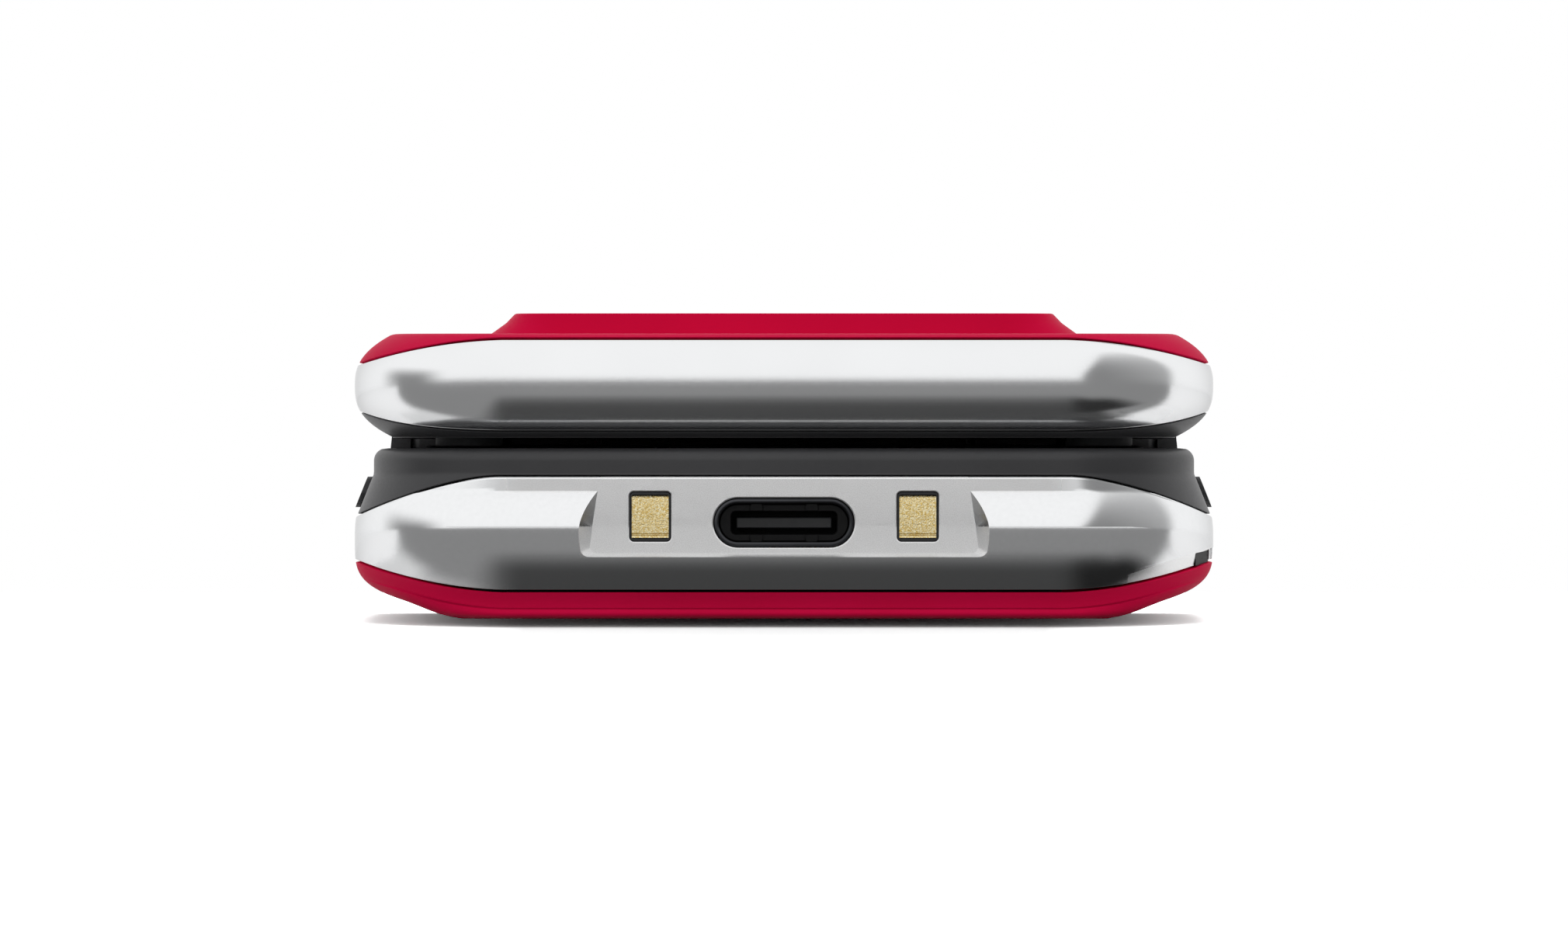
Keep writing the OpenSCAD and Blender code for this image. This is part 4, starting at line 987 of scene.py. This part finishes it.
# Soft glowing cards that only the phone's gloss sees, each over the one before: painted reflections, dark and light
# patches with no lamp, mat or wall behind them. Sides are (bearing, reach, blur): the card fades out over the blur,
# in millimetres, across a line square to the bearing at that reach from its middle.
# Upright cards stand square to an azimuth from straight in front; their sides are in their own plane.
cards = {
    "greyMat": dict(centre=(0, -1047), height=0.05, shade=0.245,
        sides=[(0, 2000, 3), (180, 2000, 3), (90, 997.5, 6), (270, 1000, 3)]),
    "contactShade": dict(centre=(0, -46), height=0.08, shade=0.052,
        sides=[(0, 25.5, 4), (180, 22, 5), (90, 14.5, 4), (270, 14.8, 4.7)]),
    "darkSpot": dict(centre=(24, -56.5), height=0.15, shade=0.015,
        sides=[(0, 8, 7), (180, 6.7, 3.4), (90, 4.5, 2), (270, 3.4, 4.4)]),
    "leftGlint": dict(centre=(-29, -52), height=0.2, shade=0.7,
        sides=[(0, 4.5, 4), (180, 14, 12), (90, 10, 3), (270, 4, 4)]),
    "rightGlint": dict(centre=(32, -52), height=0.22, shade=0.9,
        sides=[(180, 4, 4), (0, 14, 12), (90, 10, 3), (270, 3, 3)]),
    # a low glowing card in front of the port end, white underneath and dark on top, where only the lid's gloss looks:
    # a painted reflection;
    # plain is half its width and how far it reaches forward and back, ground the shade at its outer edges
    "shelfUnderside": dict(centre=(2, -60), height=5.994, shade=0.82, plain=(24, 20, 6), sides=[]),
    "shelfTop": dict(centre=(2, -60), height=6, shade=0.06, plain=(24, 20, 6), ground=0.245,
        sides=[(0, 24, 3.5), (180, 24, 4), (270, 20, 21)]),
    "shelfSpot": dict(centre=(26, -60), height=6.02, shade=0.022,
        sides=[(0, 12, 11), (180, 8.2, 4), (90, 3.6, 1.5), (270, 14, 12)]),
    "leftWall": dict(azimuth=-75, distance=500, shade=0.245,
        sides=[(86, 260, 250), (193, 290, 270), (0, 330, 250)]),
    "rightWall": dict(azimuth=75, distance=500, shade=0.245,
        sides=[(150, 921, 230), (354, 152, 119), (34.5, 1315, 1763)]),
}


def eyeOrGloss(tree):
    path = addNode(tree, "LightPath").outputs
    gloss = mathNode(tree, "MAXIMUM", path["Is Glossy Ray"], path["Is Transmission Ray"])
    return path["Is Camera Ray"], mathNode(tree, "MAXIMUM", gloss, path["Is Camera Ray"])


# a glowing card that only gloss sees: a painted reflection
def makeCard(name, look):
    material, tree, place = startMaterial(name)
    masks = []
    for bearing, reach, blur in look["sides"]:
        turn = radians(bearing)
        along = addNode(tree, "VectorMath", {0: place, 1: (cos(turn), sin(turn), 0)},
            operation="DOT_PRODUCT").outputs["Value"]
        masks.append(remap(tree, along, (reach * mm, (reach - blur) * mm), interpolation_type="SMOOTHSTEP"))
    glow = addNode(tree, "Emission", {"Color": (1, 1, 1, 1), "Strength": look["shade"]})
    if "ground" in look:
        shade = remap(tree, allOf(tree, masks), end=(look["ground"], look["shade"]))
        tree.links.new(shade, glow.inputs["Strength"])
    elif masks:
        clear = addNode(tree, "BsdfTransparent")
        glow = addNode(tree, "MixShader", {0: allOf(tree, masks), 1: clear.outputs[0], 2: glow.outputs[0]})
    showSurface(tree, glow)
    upright = "azimuth" in look
    reach = 2000 if upright else max([side[1] for side in look["sides"]] or [0])
    wide, near, far = look.get("plain", (reach, reach, reach))
    card = newMesh(name, [(-wide, -near, 0), (wide, -near, 0), (wide, far, 0), (-wide, far, 0)], [(0, 1, 2, 3)])
    if upright:
        card.matrix_world = (Matrix.Rotation(radians(look["azimuth"]), 4, "Z")
            @ Matrix.Translation((0, -look["distance"] * mm, 0)) @ Matrix.Rotation(pi / 2, 4, "X"))
    else:
        card.location = [v * mm for v in (*look["centre"], look["height"])]
    coat(card, material)
    card.visible_camera = card.visible_shadow = card.visible_transmission = card.visible_diffuse = False


def makeTent(look):
    world = bpy.data.worlds.new("whiteTent")
    bpy.context.scene.world = world
    world.use_nodes = True
    tree = world.node_tree
    tree.nodes.clear()
    strength = remap(tree, eyeOrGloss(tree)[1], end=(look["tentLight"], 1.0))
    sky = addNode(tree, "Background", {"Color": (1, 1, 1, 1), "Strength": strength})
    addNode(tree, "OutputWorld", {"Surface": sky.outputs[0]})


def makePaper(look):
    # white paper: white wherever it is seen, still dark where the phone shades it, but painted brighter beside the
    # phone, which lightens that shadow at its sides
    paper, tree, place = startMaterial("whitePaper")
    eye, seen = eyeOrGloss(tree)
    level = remap(tree, seen, end=(look["paperShade"], look["paperGloss"]))
    x = addNode(tree, "SeparateXYZ", {0: place}).outputs[0]
    # painted light: beyond |x| 17 to 24 mm the paper is brighter to the eye, so the phone's shadow fades out at its
    # sides
    shadowLifted = remap(tree, mathNode(tree, "ABSOLUTE", x), [v * mm for v in look["paperShadowLiftFrom"]],
        (look["paperSeen"], look["paperShadowLift"]))
    level = remap(tree, eye, end=(level, shadowLifted))
    color = addNode(tree, "CombineColor", {0: level, 1: level, 2: level}).outputs[0]
    showSurface(tree, addNode(tree, "BsdfDiffuse", {"Color": color}))
    # the sheet falls away under the port end and lifts a little behind, so that the shadow shows from this low
    sheet = [(-2500, -88), (-400, -13), (-160, -4.5), (-100, -2.4), (-70, -1.35), (-60, -0.9), (-56, -0.7),
        (-52, -0.52), (-47, -0.34), (-40, -0.2), (-30, -0.08), (-20, -0.02), (70, -0.02), (80, 0), (92, 0.12),
        (108, 0.45), (126, 0.7), (150, 0.8), (240, 0.8)]
    points = [(x, y, z) for y, z in sheet for x in (-1500, 1500)]
    faces = [(k, k + 1, k + 3, k + 2) for k in range(0, 2 * len(sheet) - 2, 2)]
    floor = newMesh("paperFloor", points, faces)
    coat(floor, paper)
    floor.data.shade_smooth()


def makeLamp(look):
    # over the port end and tilted at it
    lamp = bpy.data.lights.new("overheadSoftbox", "AREA")
    lamp.shape, lamp.size, lamp.energy = "DISK", look["lampSize"], look["lampPower"]
    holder = addObject("overheadSoftbox", lamp)
    tilt = radians(look["lampTilt"])
    holder.location = (0, -look["lampReach"] * sin(tilt), look["lampReach"] * cos(tilt))
    holder.rotation_euler = (-tilt, 0, 0)
    holder.visible_glossy = False


def placeCamera(look):
    # level with the phone's middle, far off, so that its sides don't show
    lens = bpy.data.cameras.new("camera")
    lens.lens, lens.sensor_width = look["lens"], 36
    lens.clip_start, lens.clip_end = 0.1, 20
    distance = look["lens"] / lens.sensor_width * look["frameWidth"]
    holder = addObject("camera", lens)
    holder.location = (0, (base["front"] - distance) * mm, look["height"] * mm)
    holder.rotation_euler = (pi / 2, 0, 0)
    bpy.context.scene.camera = holder


makeTent(stageLook)
makePaper(stageLook)
for name, card in cards.items():
    makeCard(name, card)
makeLamp(stageLook)
placeCamera(dict(lens=900, frameWidth=101.9, height=9.65))
bpy.context.scene.view_settings.view_transform = "Standard"
print("studio made")
